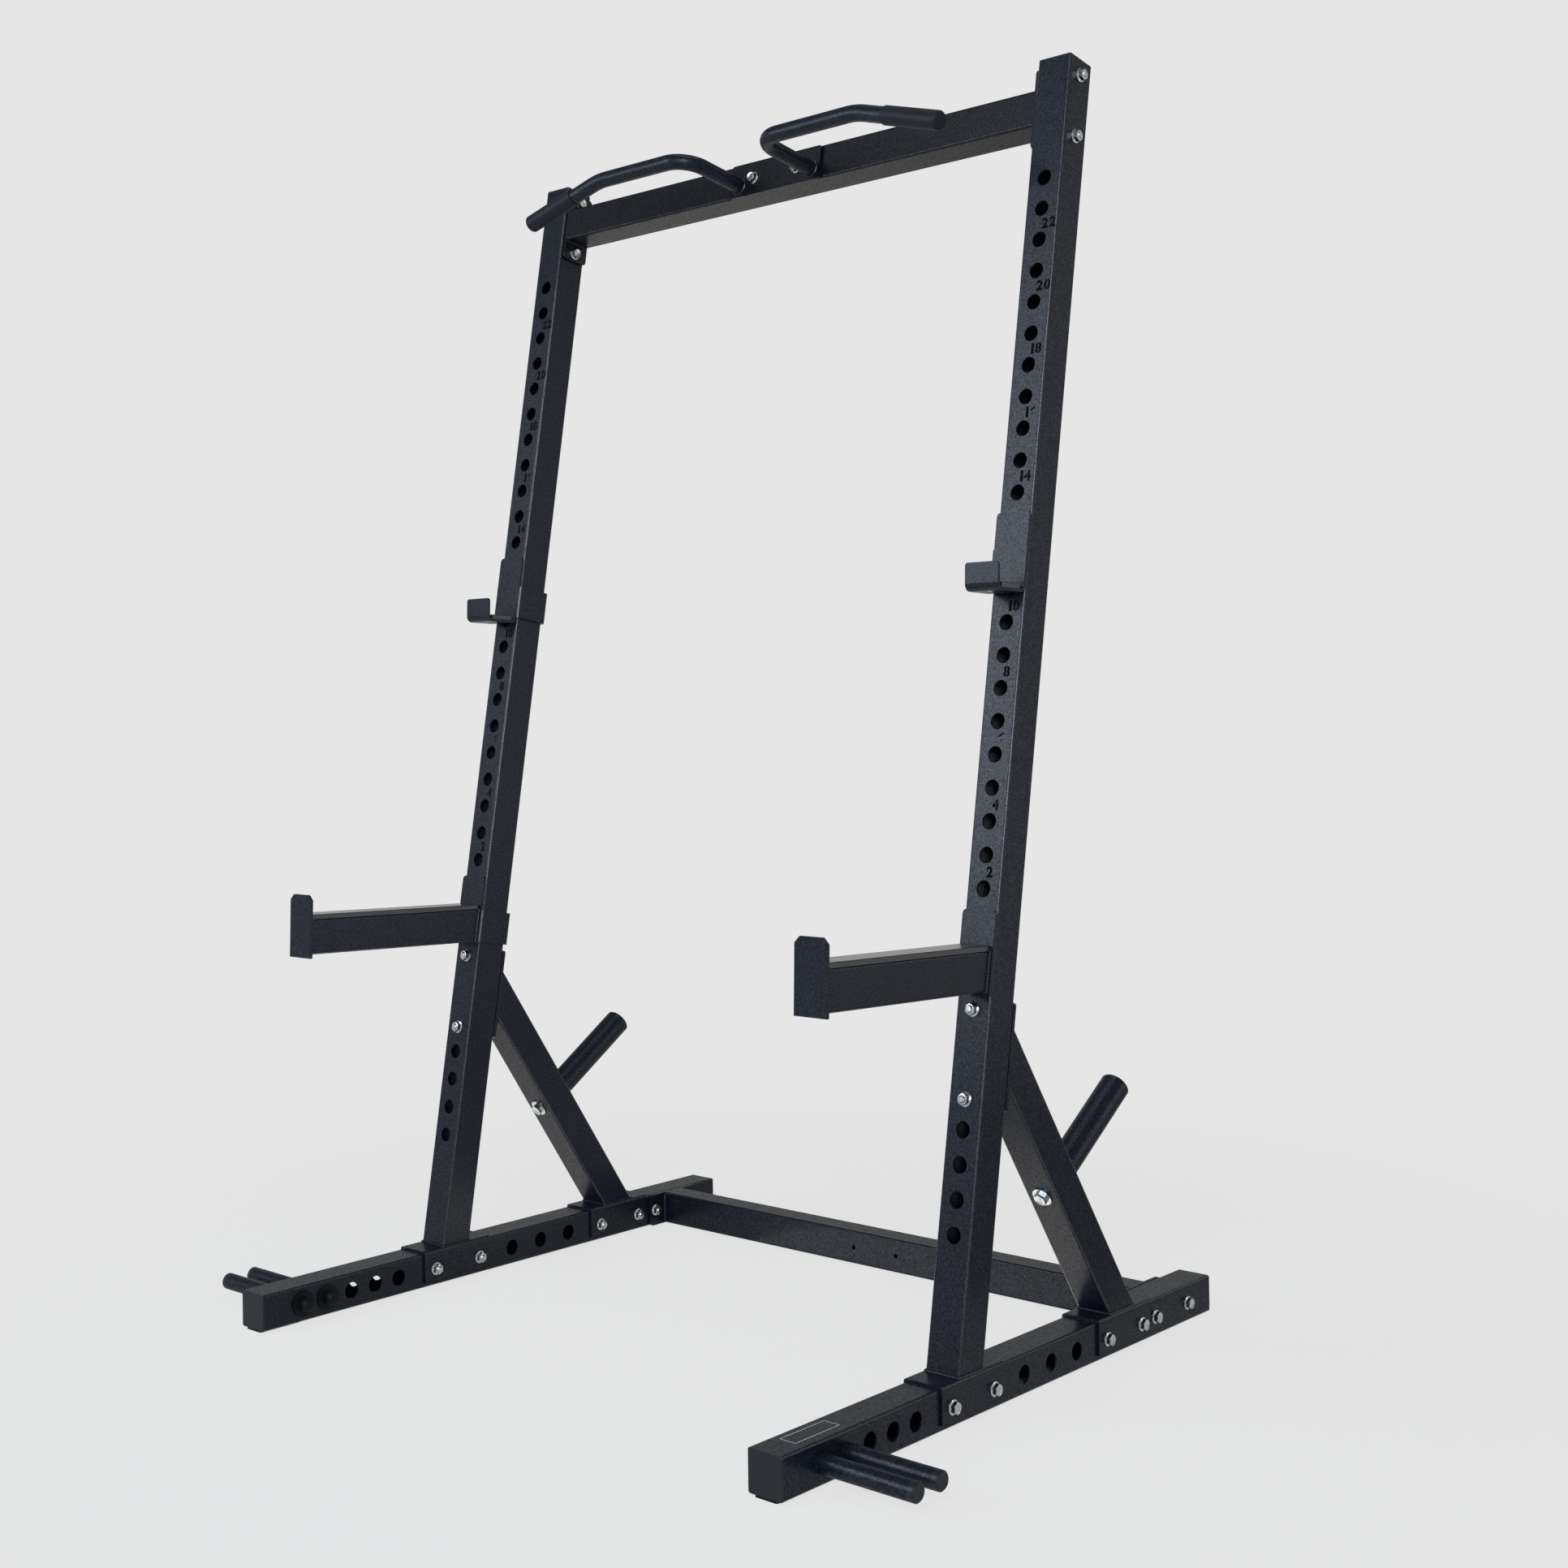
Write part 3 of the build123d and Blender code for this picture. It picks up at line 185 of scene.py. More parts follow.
def corner_weight(tree, shine, corner_shine):
    """Weight of the skin, which grows where a face turns from the rack's side to its front, top or back."""
    facing = add(tree, "ShaderNodeTexCoord").outputs["Normal"]
    across = add(tree, "ShaderNodeSeparateXYZ", links={0: facing}).outputs["X"]
    square = add(tree, "ShaderNodeMath", links={0: across, 1: across}, operation="MULTIPLY").outputs[0]
    rest = add(tree, "ShaderNodeMath", {0: 1.0}, {1: square}, operation="SUBTRACT").outputs[0]
    rounded = add(tree, "ShaderNodeMath", links={0: square, 1: rest}, operation="MULTIPLY").outputs[0]
    weight = add(tree, "ShaderNodeMapRange", {
        "From Min": 0.02,
        "From Max": 0.2,
        "To Min": shine,
        "To Max": corner_shine,
    }, {"Value": rounded})
    return weight.outputs["Result"]


def coated(name, dark, pale, shine, soft, grit, height, drift, sparkle=0.0, corner_shine=None):
    """Dull body under a thin skin.

    The skin has a share of shine and a softness, and grit, height and drift are real sizes. Sparkle is how
    far the shine rises and falls from grain to grain. With it, corners may have a shine of their own.
    """
    material, tree = blank(name)
    place = add(tree, "ShaderNodeTexCoord").outputs["Object"]
    slow = add(tree, "ShaderNodeTexNoise", {
        "Scale": 1 / drift,
        "Detail": 3.0,
        "Roughness": 0.55,
    }, {"Vector": place}).outputs["Fac"]
    fine = add(tree, "ShaderNodeTexNoise", {
        "Scale": 1 / grit,
        "Detail": 2.0,
        "Roughness": 0.6,
    }, {"Vector": place}).outputs["Fac"]
    tone = add(tree, "ShaderNodeMath", {1: DRIFT_SHARE}, {0: slow, 2: fine}, operation="MULTIPLY_ADD")
    colour = add(tree, "ShaderNodeValToRGB", links={"Fac": tone.outputs[0]})
    low, high = colour.color_ramp.elements
    low.position, high.position = TONE_RANGE
    low.color = linear(dark)
    high.color = linear(pale)
    gloss = add(tree, "ShaderNodeMapRange", {
        "From Min": 0.3,
        "From Max": 0.7,
        "To Min": 0.68,
        "To Max": 0.84,
    }, {"Value": fine})
    bump = add(tree, "ShaderNodeBump", {"Strength": 0.8, "Distance": height}, {"Height": fine})
    shader = add(tree, "ShaderNodeBsdfPrincipled", {
        "IOR": RESIN_IOR,
        "Specular IOR Level": DULL_BODY,
        "Coat Weight": shine,
        "Coat Roughness": soft,
    }, {
        "Base Color": colour.outputs["Color"],
        "Roughness": gloss.outputs["Result"],
        "Normal": bump.outputs["Normal"],
        "Coat Normal": bump.outputs["Normal"],
    })
    if sparkle:
        grains = add(tree, "ShaderNodeMapRange", {
            "From Min": 0.35,
            "From Max": 0.65,
            "To Min": 1 - sparkle,
            "To Max": 1 + sparkle,
        }, {"Value": fine}).outputs["Result"]
        skin = add(tree, "ShaderNodeMath", {0: shine}, {1: grains}, operation="MULTIPLY", use_clamp=True)
        if corner_shine:
            tree.links.new(corner_weight(tree, shine, corner_shine), skin.inputs[0])
        tree.links.new(skin.outputs[0], shader.inputs["Coat Weight"])
    add(tree, "ShaderNodeOutputMaterial", links={"Surface": shader.outputs["BSDF"]})
    return material


# Polyester powder coat, sprayed dry and baked: a bluish black with a fine grit that leaves it only a little
# gloss. The grit is about 0.5 mm across and is drawn at 2.8 mm, so that it shows. Over the rounded corners of
# the tubes the coat flows out smooth, and shines more.
powder_coat = coated(
    "textured_black_powder_coat", "#030407", "#0F1725", shine=0.34, soft=0.28,
    grit=2.8 * MM, height=0.05 * MM, drift=70 * MM, sparkle=0.4, corner_shine=0.9)

# The same coat in darker colours on the pull-up beam and the plate of its handles: painted shade.
shaded_beam_coat = coated(
    "textured_black_powder_coat_with_painted_shade_on_the_beam", "#020204", "#090E17", shine=0.36, soft=0.28,
    grit=2.8 * MM, height=0.05 * MM, drift=70 * MM, sparkle=0.4, corner_shine=0.9)

# The same coat on round tube, where no corner shines.
round_coat = coated(
    "textured_black_powder_coat_on_round_tube", "#040508", "#121A27", shine=0.28, soft=0.3,
    grit=2.8 * MM, height=0.05 * MM, drift=70 * MM, sparkle=0.4)

# The same coat on the parts that roll on the uprights, which are handled and a little smoother.
fitting_coat = coated(
    "handled_black_powder_coat", "#030507", "#0F1725", shine=0.34, soft=0.26,
    grit=2.6 * MM, height=0.04 * MM, drift=45 * MM, sparkle=0.35, corner_shine=0.9)

# Injection-moulded polyethylene: soft satin with a faint sparked grain.
moulded_ends = coated(
    "moulded_black_polyethylene", "#0B0E12", "#171C23", shine=0.42, soft=0.38,
    grit=1.2 * MM, height=0.04 * MM, drift=30 * MM)

# Sawn and milled wear plastic: waxy, with a strong shine at low angles.
wear_plastic = coated(
    "waxy_wear_plastic", "#131416", "#1F2023", shine=0.95, soft=0.28,
    grit=2.2 * MM, height=0.02 * MM, drift=25 * MM)

# Dipped rubber sleeves: matt, with a slightly pebbled skin.
sleeve_rubber = coated(
    "dipped_rubber_sleeve", "#0C0E12", "#191D23", shine=0.2, soft=0.45,
    grit=1.8 * MM, height=0.12 * MM, drift=20 * MM)

# Die-cut rubber sheet: dull and dusty.
pad_rubber = coated(
    "rubber_sheet", "#0C0C0D", "#171717", shine=0.08, soft=0.6,
    grit=1.2 * MM, height=0.1 * MM, drift=15 * MM)

# Blackened steel washers and domed nuts: darker than the coat, with no grit.
blackened_steel = coated(
    "blackened_steel", "#07080B", "#0F1217", shine=0.15, soft=0.36,
    grit=1.0 * MM, height=0.02 * MM, drift=12 * MM)

# Numbers cut through the wall by laser, drawn as flat marks painted with shade: the near-black of the unlit
# inside of the tube, which sends hardly any light back.
painted_cut_shade = coated(
    "painted_shade_inside_the_tube", "#020203", "#060607", shine=0.0, soft=0.6,
    grit=2.0 * MM, height=0.01 * MM, drift=8 * MM)

# Screen-printed line: white ink that lets a little of the coat through.
white_ink = coated(
    "screen_printed_white_ink", "#A3A5A7", "#DCDDDD", shine=0.2, soft=0.4,
    grit=1.5 * MM, height=0.01 * MM, drift=10 * MM)

ZINC_CLOUD = 6 * MM
ZINC_TONE_RANGE = (0.3, 0.72)


def zinc_plate(name):
    """Bright zinc plate over formed steel: pale blue-white metal, cloudy where the bath dried."""
    material, tree = blank(name)
    place = add(tree, "ShaderNodeTexCoord").outputs["Object"]
    cloud = add(tree, "ShaderNodeTexNoise", {
        "Scale": 1 / ZINC_CLOUD,
        "Detail": 4.0,
        "Roughness": 0.6,
    }, {"Vector": place}).outputs["Fac"]
    colour = add(tree, "ShaderNodeValToRGB", links={"Fac": cloud})
    low, high = colour.color_ramp.elements
    low.position, high.position = ZINC_TONE_RANGE
    low.color = linear("#8A908F")
    high.color = linear("#BDC1C2")
    gloss = add(tree, "ShaderNodeMapRange", {"To Min": 0.12, "To Max": 0.28}, {"Value": cloud})
    bump = add(tree, "ShaderNodeBump", {"Strength": 0.3, "Distance": 0.02 * MM}, {"Height": cloud})
    shader = add(tree, "ShaderNodeBsdfPrincipled", {"Metallic": 1.0}, {
        "Base Color": colour.outputs["Color"],
        "Roughness": gloss.outputs["Result"],
        "Normal": bump.outputs["Normal"],
    })
    add(tree, "ShaderNodeOutputMaterial", links={"Surface": shader.outputs["BSDF"]})
    return material


zinc = zinc_plate("bright_zinc_plate")

# Modelling
ROUND_SIDES = 32
CONE_SIDES = 48
CHAMFER_SLOPE = radians(30)
CUT_MARGIN = 1 * MM            # a trimming cone reaches past the hexagon
DRILL_MARGIN = 0.1 * MM        # a drill reaches past the nut
SHANK_BITE = 1 * MM            # a shank reaches into its head
FLAT = 0.01 * MM               # how far a face on a head's top may lie from its height
FACING_UP = 0.99               # least upward part of such a face's normal
SMOOTH_ANGLE = radians(32)


def deselect():
    """Leave no object selected."""
    bpy.ops.object.select_all(action="DESELECT")


def choose(piece):
    """Leave one piece selected and active."""
    deselect()
    piece.select_set(True)
    bpy.context.view_layer.objects.active = piece


def joined(pieces):
    """Join pieces into the first of them."""
    choose(pieces[0])
    for piece in pieces[1:]:
        piece.select_set(True)
    if len(pieces) > 1:
        bpy.ops.object.join()
    return pieces[0]


def turned(name, rings, sides):
    """Turned piece along Z: a disc extruded and resized from ring to ring, each a radius and a height."""
    deselect()
    radius, height = rings[0]
    bpy.ops.mesh.primitive_circle_add(
        vertices=sides, radius=radius, fill_type="NGON", location=(0, 0, height))
    piece = bpy.context.object
    piece.name = name
    bpy.ops.object.transform_apply(location=True, rotation=True, scale=True)
    bpy.ops.object.mode_set(mode="EDIT")
    bpy.ops.mesh.select_all(action="SELECT")
    for next_radius, next_height in rings[1:]:
        bpy.ops.mesh.extrude_region_move(TRANSFORM_OT_translate={"value": (0, 0, next_height - height)})
        ratio = next_radius / radius
        bpy.ops.transform.resize(value=(ratio, ratio, 1))
        radius, height = next_radius, next_height
    bpy.ops.mesh.select_all(action="SELECT")
    bpy.ops.mesh.normals_make_consistent(inside=False)
    bpy.ops.object.mode_set(mode="OBJECT")
    return piece


def combine(piece, tool, operation):
    """Join, cut or trim a piece by a tool, which is used up."""
    change = piece.modifiers.new("change", "BOOLEAN")
    change.operation = operation
    change.solver = "EXACT"
    change.object = tool
    choose(piece)
    bpy.ops.object.modifier_apply(modifier=change.name)
    bpy.data.objects.remove(tool)
    return piece


def pick_faces(piece, wanted):
    """Select in edit mode the faces whose centre and normal are wanted."""
    choose(piece)
    bpy.ops.object.mode_set(mode="EDIT")
    bpy.ops.mesh.select_mode(type="FACE")
    bpy.ops.mesh.select_all(action="DESELECT")
    bpy.ops.object.mode_set(mode="OBJECT")
    for face in piece.data.polygons:
        face.select = wanted(face.center, face.normal)
    bpy.ops.object.mode_set(mode="EDIT")


def hexagon(flats, low, high, chamfer):
    """Hex prism with the corners of its top turned off, as on a formed head."""
    deselect()
    corner = flats / 2 / cos(pi / 6)
    bpy.ops.mesh.primitive_cylinder_add(
        vertices=6, radius=corner, depth=high - low, location=(0, 0, (low + high) / 2))
    bpy.ops.object.transform_apply(location=True, rotation=True, scale=True)
    prism = bpy.context.object
    wide = corner + CUT_MARGIN
    fall = (wide - flats / 2 + chamfer) * tan(CHAMFER_SLOPE)
    rings = [(wide, low - CUT_MARGIN), (wide, high - fall), (flats / 2 - chamfer, high)]
    return combine(prism, turned("cone", rings, CONE_SIDES), "INTERSECT")


def dish(piece, top, rim, depth):
    """Press the flat top of a head down inside its rim."""
    pick_faces(piece, lambda centre, normal: normal.z > FACING_UP and abs(centre.z - top) < FLAT)
    bpy.ops.mesh.inset(thickness=rim, use_boundary=True)
    bpy.ops.transform.translate(value=(0, 0, -depth))
    bpy.ops.object.mode_set(mode="OBJECT")
    return piece


def thread(end, length, radius):
    """Rings of a threaded end, from its chamfered tip up."""
    root = radius - THREAD_DEPTH
    crest = end + TIP_LENGTH
    rings = [(root - TIP_NARROWING, end), (radius - TIP_SHOULDER, crest)]
    while crest < end + length:
        rings += [(radius, crest + CREST_END * THREAD_PITCH), (root, crest + ROOT_PLACE * THREAD_PITCH)]
        crest += THREAD_PITCH
        rings.append((radius - CREST_WEAR, crest))
    return rings


FLANGE_RINGS = [(FLANGE / 2, 0.0), (FLANGE / 2, FLANGE_EDGE), (HEAD_FLATS / 2, FLANGE_CONE)]


def flange_bolt(clamped):
    """Hex flange bolt with its seat at Z 0, its head up and its threaded end down."""
    tip = -(clamped + NUT_HEIGHT + BOLT_TAIL)
    shank = thread(tip, THREAD_LENGTH, BOLT / 2) + [(BOLT / 2, 0.0)]
    bolt = turned("flange_bolt", shank + FLANGE_RINGS, ROUND_SIDES)
    combine(bolt, hexagon(HEAD_FLATS, HEX_FOOT, HEAD_HEIGHT, HEAD_CHAMFER), "UNION")
    return dish(bolt, HEAD_HEIGHT, HEAD_RIM, HEAD_DISH)


def flange_nut():
    """Hex flange nut with its seat at Z 0, bored through."""
    nut = turned("flange_nut", FLANGE_RINGS, ROUND_SIDES)
    combine(nut, hexagon(HEAD_FLATS, HEX_FOOT, NUT_HEIGHT, HEAD_CHAMFER), "UNION")
    bore = BOLT / 2 + THREAD_FIT
    drill = [
        (bore + NUT_LEAD, -DRILL_MARGIN),
        (bore, NUT_LEAD),
        (bore, NUT_HEIGHT - NUT_LEAD),
        (bore + NUT_LEAD, NUT_HEIGHT + DRILL_MARGIN),
    ]
    return combine(nut, turned("drill", drill, ROUND_SIDES), "DIFFERENCE")


def horn_bolt():
    """Plain hex bolt with its seat at Z 0, its head up and its threaded end down."""
    radius = HORN_BOLT / 2
    shank = thread(-HORN_BOLT_LENGTH, HORN_THREAD_LENGTH, radius) + [(radius, 0.0), (radius, SHANK_BITE)]
    bolt = turned("horn_bolt", shank, ROUND_SIDES)
    combine(bolt, hexagon(HORN_HEAD_FLATS, 0.0, HORN_HEAD_HEIGHT, HORN_HEAD_CHAMFER), "UNION")
    return dish(bolt, HORN_HEAD_HEIGHT, HORN_HEAD_RIM, HORN_HEAD_DISH)


def finish_piece(piece, name, material, body):
    """Name a piece, give it its finish and let it ride on its body."""
    piece.name = name
    piece.data.name = name
    choose(piece)
    bpy.ops.object.shade_smooth_by_angle(angle=SMOOTH_ANGLE)
    piece.data.materials.clear()
    piece.data.materials.append(material)
    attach(piece, body)
    return piece


def seat(origin, normal):
    """Matrix of a place whose Z lies along a normal."""
    return Matrix.Translation(origin) @ normal.to_track_quat("Z", "Y").to_matrix().to_4x4()


def copies(patterns):
    """Copies of modelled patterns, each at its places, joined into one object."""
    made = []
    for pattern, places in patterns:
        for place in places:
            copy = pattern.copy()
            copy.data = pattern.data.copy()
            copy.data.transform(place)
            bpy.context.scene.collection.objects.link(copy)
            made.append(copy)
    return joined(made)


# Bolts and nuts
def rail_seats(out, places, facing):
    """Seats beside both rails, out from their centre lines."""
    return [seat(Vector((side * (STANCE / 2 + out), y, RAIL_AXIS)), ACROSS * (side * facing))
            for side in SIDES.values() for y in places]


def flank_seats(out, places, facing):
    """Seats beside both uprights, out from their centre lines."""
    return [seat(on_upright(side * (STANCE / 2 + out), -TUBE / 2, along), ACROSS * (side * facing))
            for side in SIDES.values() for along in places]


def face_seats(columns, forward, places, facing):
    """Seats in front of or behind the leaning frame."""
    return [seat(on_upright(x, forward, along), FORWARD * facing) for x in columns for along in places]


def stand_in(pattern, places, node):
    """Formed fasteners at their places, which stand for a CAD node."""
    piece = finish_piece(copies([(pattern, places)]), f"formed_{node}", zinc, "frame")
    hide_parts(node)


saddle_places = [foot + end * SADDLE_BOLT_REACH for foot in (FOOT_MIDDLE, BRACE_FOOT) for end in ENDS]
tie_places = [TIE_MIDDLE + end * TIE_BOLT_REACH for end in ENDS]
beam_places = [BEAM_RISE + end * BEAM_BOLT_REACH for end in ENDS]
brace_places = [BRACE_JOINT + end * BRACE_BOLT_REACH for end in ENDS]
upright_columns = [side * STANCE / 2 for side in SIDES.values()]
handle_columns = [side * HANDLE_BOLT_REACH for side in SIDES.values()]
horn_seats = []
for column in upright_columns:
    on_brace = Vector((column, BRACE_FOOT, SADDLE_TOP)) + BRACE_UP * HORN_RISE
    horn_seats.append(seat(on_brace - BRACE_BACK * (TUBE / 2 + HORN_WASHER), -BRACE_BACK))

bolt_groups = {
    "saddle_bolts": (SADDLE_WIDTH, rail_seats(SADDLE_WIDTH / 2, saddle_places, 1)),
    "cross_tube_bolts": (TUBE + END_PLATE, rail_seats(TUBE / 2, tie_places, 1)),
    "beam_bolts": (TUBE + END_PLATE, flank_seats(-TUBE / 2 - END_PLATE, beam_places, -1)),
    "brace_bolts": (TUBE + BRACE_PLATE,
                    face_seats(upright_columns, -TUBE - BRACE_PLATE, brace_places, -1)),
    "handle_bolts": (BEAM_DEPTH + HANDLE_PLATE,
                     face_seats(handle_columns, BEAM_FRONT + HANDLE_PLATE, [HANDLE_BOLT_RISE], 1)),
}
nut_groups = {
    "saddle_nuts": rail_seats(-SADDLE_WIDTH / 2, saddle_places, -1),
    "cross_tube_nuts": rail_seats(-TUBE / 2 - END_PLATE, tie_places, -1),
    "beam_nuts": flank_seats(TUBE / 2, beam_places, 1),
    "brace_nuts": face_seats(upright_columns, 0, brace_places, 1),
    "handle_nuts": face_seats(handle_columns, BEAM_FRONT - BEAM_DEPTH, [HANDLE_BOLT_RISE], -1),
}
for node, (clamped, places) in bolt_groups.items():
    pattern = flange_bolt(clamped)
    stand_in(pattern, places, node)
    bpy.data.objects.remove(pattern)
pattern = flange_nut()
for node, places in nut_groups.items():
    stand_in(pattern, places, node)
bpy.data.objects.remove(pattern)
pattern = horn_bolt()
stand_in(pattern, horn_seats, "horn_bolts")
bpy.data.objects.remove(pattern)

# Weld beads
BEAD = 2.6 * MM
BEAD_SIDES = 10
BEAD_TIP = 0.4                 # of the bead, at its two ends
BEAD_TIP_LENGTH = 0.3          # of the bead
RIPPLE = 3.4 * MM              # from wave to wave of the bead
RIPPLE_NECK = 0.84             # of the bead, between two waves
RIPPLE_CREST = 0.55            # of the wave
RING_WAVES = 24
RING_NECK = 0.4 * MM           # off the ring's bead, between two waves
CORNER = 3 * MM                # the beads stop short of the tubes' rounded corners
bead_patterns = {}


def bead(length):
    """Rippled bead of weld metal along Z, modelled once for each length."""
    key = round(length / MM, 1)
    if key not in bead_patterns:
        waves = round(length / RIPPLE)
        step = length / waves
        rings = [(BEAD * BEAD_TIP, -BEAD_TIP_LENGTH * BEAD)]
        for wave in range(waves):
            rings += [(BEAD * RIPPLE_NECK, wave * step), (BEAD, (wave + RIPPLE_CREST) * step)]
        rings += [(BEAD * RIPPLE_NECK, length), (BEAD * BEAD_TIP, length + BEAD_TIP_LENGTH * BEAD)]
        bead_patterns[key] = turned("bead", rings, BEAD_SIDES)
    return bead_patterns[key]


def weld(name, body, runs):
    """Beads along straight runs, each from point to point, as one piece."""
    patterns = [(bead((end - start).length), [seat(start, end - start)]) for start, end in runs]
    return finish_piece(copies(patterns), name, powder_coat, body)


def box_runs(centre, across, up, open_top=False):
    """Runs round a box section, by its middle and its two half sizes, without the top where that is open."""
    low_left, low_right = centre - across - up, centre + across - up
    high_left, high_right = centre - across + up, centre + across + up
    runs = [(low_left, low_right), (low_left, high_left), (low_right, high_right)]
    return runs if open_top else runs + [(high_left, high_right)]


half_tube = ACROSS * (TUBE / 2)
for word, side in SIDES.items():
    x = side * STANCE / 2
    foot = Vector((x, FOOT_MIDDLE, SADDLE_TOP))
    weld(f"upright_foot_weld_{word}", "frame",
         box_runs(foot, half_tube, ALONG_RAIL * (TUBE / cos(LEAN) / 2)))
    foot = Vector((x, BRACE_FOOT, SADDLE_TOP))
    joint = on_upright(x, -TUBE - BRACE_PLATE, BRACE_JOINT)
    rise = UP * (TUBE / sin(LEAN + BRACE_TILT) / 2)
    inset = ACROSS * (TUBE / 2 - CORNER)
    runs = box_runs(foot, half_tube, ALONG_RAIL * (TUBE / cos(BRACE_TILT) / 2))
    runs += [(joint + rise * end - inset, joint + rise * end + inset) for end in ENDS]
    weld(f"brace_weld_{word}", "frame", runs)

beam_runs = []
tie_runs = []
for side in SIDES.values():
    inside = side * (STANCE / 2 - TUBE / 2 - END_PLATE)
    depth = BEAM_DEPTH / 2 - CORNER
    rise = Vector((0, 0, TUBE / 2 - CORNER))
    for end in ENDS:
        middle = on_upright(inside, BEAM_FRONT - BEAM_DEPTH / 2, BEAM_RISE + end * TUBE / 2)
        beam_runs.append((middle - FORWARD * depth, middle + FORWARD * depth))
        middle = Vector((inside, TIE_MIDDLE + end * TIE_DEPTH / 2, RAIL_AXIS))
        tie_runs.append((middle - rise, middle + rise))
weld("beam_end_weld", "frame", beam_runs)
weld("cross_tube_end_weld", "frame", tie_runs)

for word, side in SIDES.items():
    x = side * STANCE / 2
    body = f"{word}_spotter"
    root = on_upright(x, 0, ARM_PIN - ARM_DROP)
    at_tongue = root + ARM_FORWARD * (TONGUE_FRONT / cos(ARM_SLOPE))
    at_stop = root + ARM_FORWARD * ARM_LENGTH
    half_arm = ACROSS * (ARM_WIDTH / 2)
    runs = box_runs(at_tongue, half_arm, UP * (ARM_HEIGHT / cos(ARM_SLOPE) / 2), open_top=True)
    runs += box_runs(at_stop, half_arm, ARM_UP * (ARM_HEIGHT / 2), open_top=True)
    weld(f"spotter_arm_weld_{word}", body, runs)


def ring_bead(radius):
    """Rippled ring of weld metal round Z."""
    deselect()
    steps = 2 * RING_WAVES
    bpy.ops.mesh.primitive_torus_add(
        major_radius=radius, minor_radius=BEAD, major_segments=steps, minor_segments=BEAD_SIDES)
    ring = bpy.context.object
    bpy.ops.object.mode_set(mode="EDIT")
    bpy.ops.mesh.select_mode(type="VERT")
    bpy.ops.mesh.select_all(action="DESELECT")
    bpy.ops.object.mode_set(mode="OBJECT")
    for vertex in ring.data.vertices:
        step = atan2(vertex.co.y, vertex.co.x) / (2 * pi) * steps
        vertex.select = round(step) % 2 == 0
    bpy.ops.object.mode_set(mode="EDIT")
    bpy.ops.transform.shrink_fatten(value=-RING_NECK)
    bpy.ops.object.mode_set(mode="OBJECT")
    return ring


pattern = ring_bead(HANDLE_TUBE / 2)
handle_roots = [seat(on_upright(side * HANDLE_ROOT, BEAM_FRONT + HANDLE_PLATE, HANDLE_LEVEL), FORWARD)
                for side in SIDES.values()]
finish_piece(copies([(pattern, handle_roots)]), "handle_root_weld", powder_coat, "frame")
bpy.data.objects.remove(pattern)
for pattern in bead_patterns.values():
    bpy.data.objects.remove(pattern)

# Hole numbers
LAST_NUMBER = 22
NUMBER_HEIGHT = 17 * MM
DIGIT_WIDTH = 11.5 * MM
ONE_WIDTH = 5 * MM
DIGIT_GAP = 2.2 * MM
NUMBER_LEFT = 3 * MM           # from the line of holes
NUMBER_DROP = 33.5 * MM        # hole to the foot of its number
NUMBER_LIFT = 0.15 * MM
STROKE_SWELL = 0.75 * MM       # thickens the strokes
STROKE_STEPS = 6               # of each curve in a stroke
STENCIL_GAP = 1 * MM
STENCIL_DIGITS = "0468"        # digits whose inside is held by bridges


def stencilled(digit):
    """Flat digit with its foot and its left side at the origin, and its width."""
    deselect()
    bpy.ops.object.text_add()
    mark = bpy.context.object
    mark.data.body = digit
    mark.data.size = NUMBER_HEIGHT
    mark.data.offset = STROKE_SWELL
    mark.data.resolution_u = STROKE_STEPS
    bpy.ops.object.convert(target="MESH")
    low = [min(vertex.co[axis] for vertex in mark.data.vertices) for axis in (0, 1)]
    high = [max(vertex.co[axis] for vertex in mark.data.vertices) for axis in (0, 1)]
    width = ONE_WIDTH if digit == "1" else DIGIT_WIDTH
    mark.scale = (width / (high[0] - low[0]), NUMBER_HEIGHT / (high[1] - low[1]), 1)
    mark.location = (-low[0] * mark.scale.x, -low[1] * mark.scale.y, 0)
    bpy.ops.object.transform_apply(location=True, rotation=True, scale=True)
    if digit in STENCIL_DIGITS:
        bpy.ops.object.mode_set(mode="EDIT")
        for edge in ENDS:
            bpy.ops.mesh.select_all(action="SELECT")
            bpy.ops.mesh.bisect(plane_co=((width + edge * STENCIL_GAP) / 2, 0, 0), plane_no=(1, 0, 0))
        bpy.ops.object.mode_set(mode="OBJECT")
        pick_faces(mark, lambda centre, normal: abs(centre.x - width / 2) < STENCIL_GAP / 2)
        bpy.ops.mesh.delete(type="FACE")
        bpy.ops.object.mode_set(mode="OBJECT")
    return mark, width


def number_marks(word, side):
    """Stencilled even numbers beside the holes of an upright."""
    made = []
    for hole in range(2, LAST_NUMBER + 1, 2):
        left = NUMBER_LEFT
        foot = FIRST_HOLE + hole * HOLE_PITCH - NUMBER_DROP
        for digit in str(hole):
            mark, width = stencilled(digit)
            place = Matrix((ACROSS, UP, FORWARD)).transposed().to_4x4()
            place.translation = on_upright(side * STANCE / 2 + left, NUMBER_LIFT, foot)
            mark.data.transform(place)
            made.append(mark)
            left += width + DIGIT_GAP
    # The flat numbers carry painted shade, the dark of the tube's unlit inside.
    return finish_piece(joined(made), f"hole_numbers_{word}", painted_cut_shade, "frame")


for word, side in SIDES.items():
    number_marks(word, side)

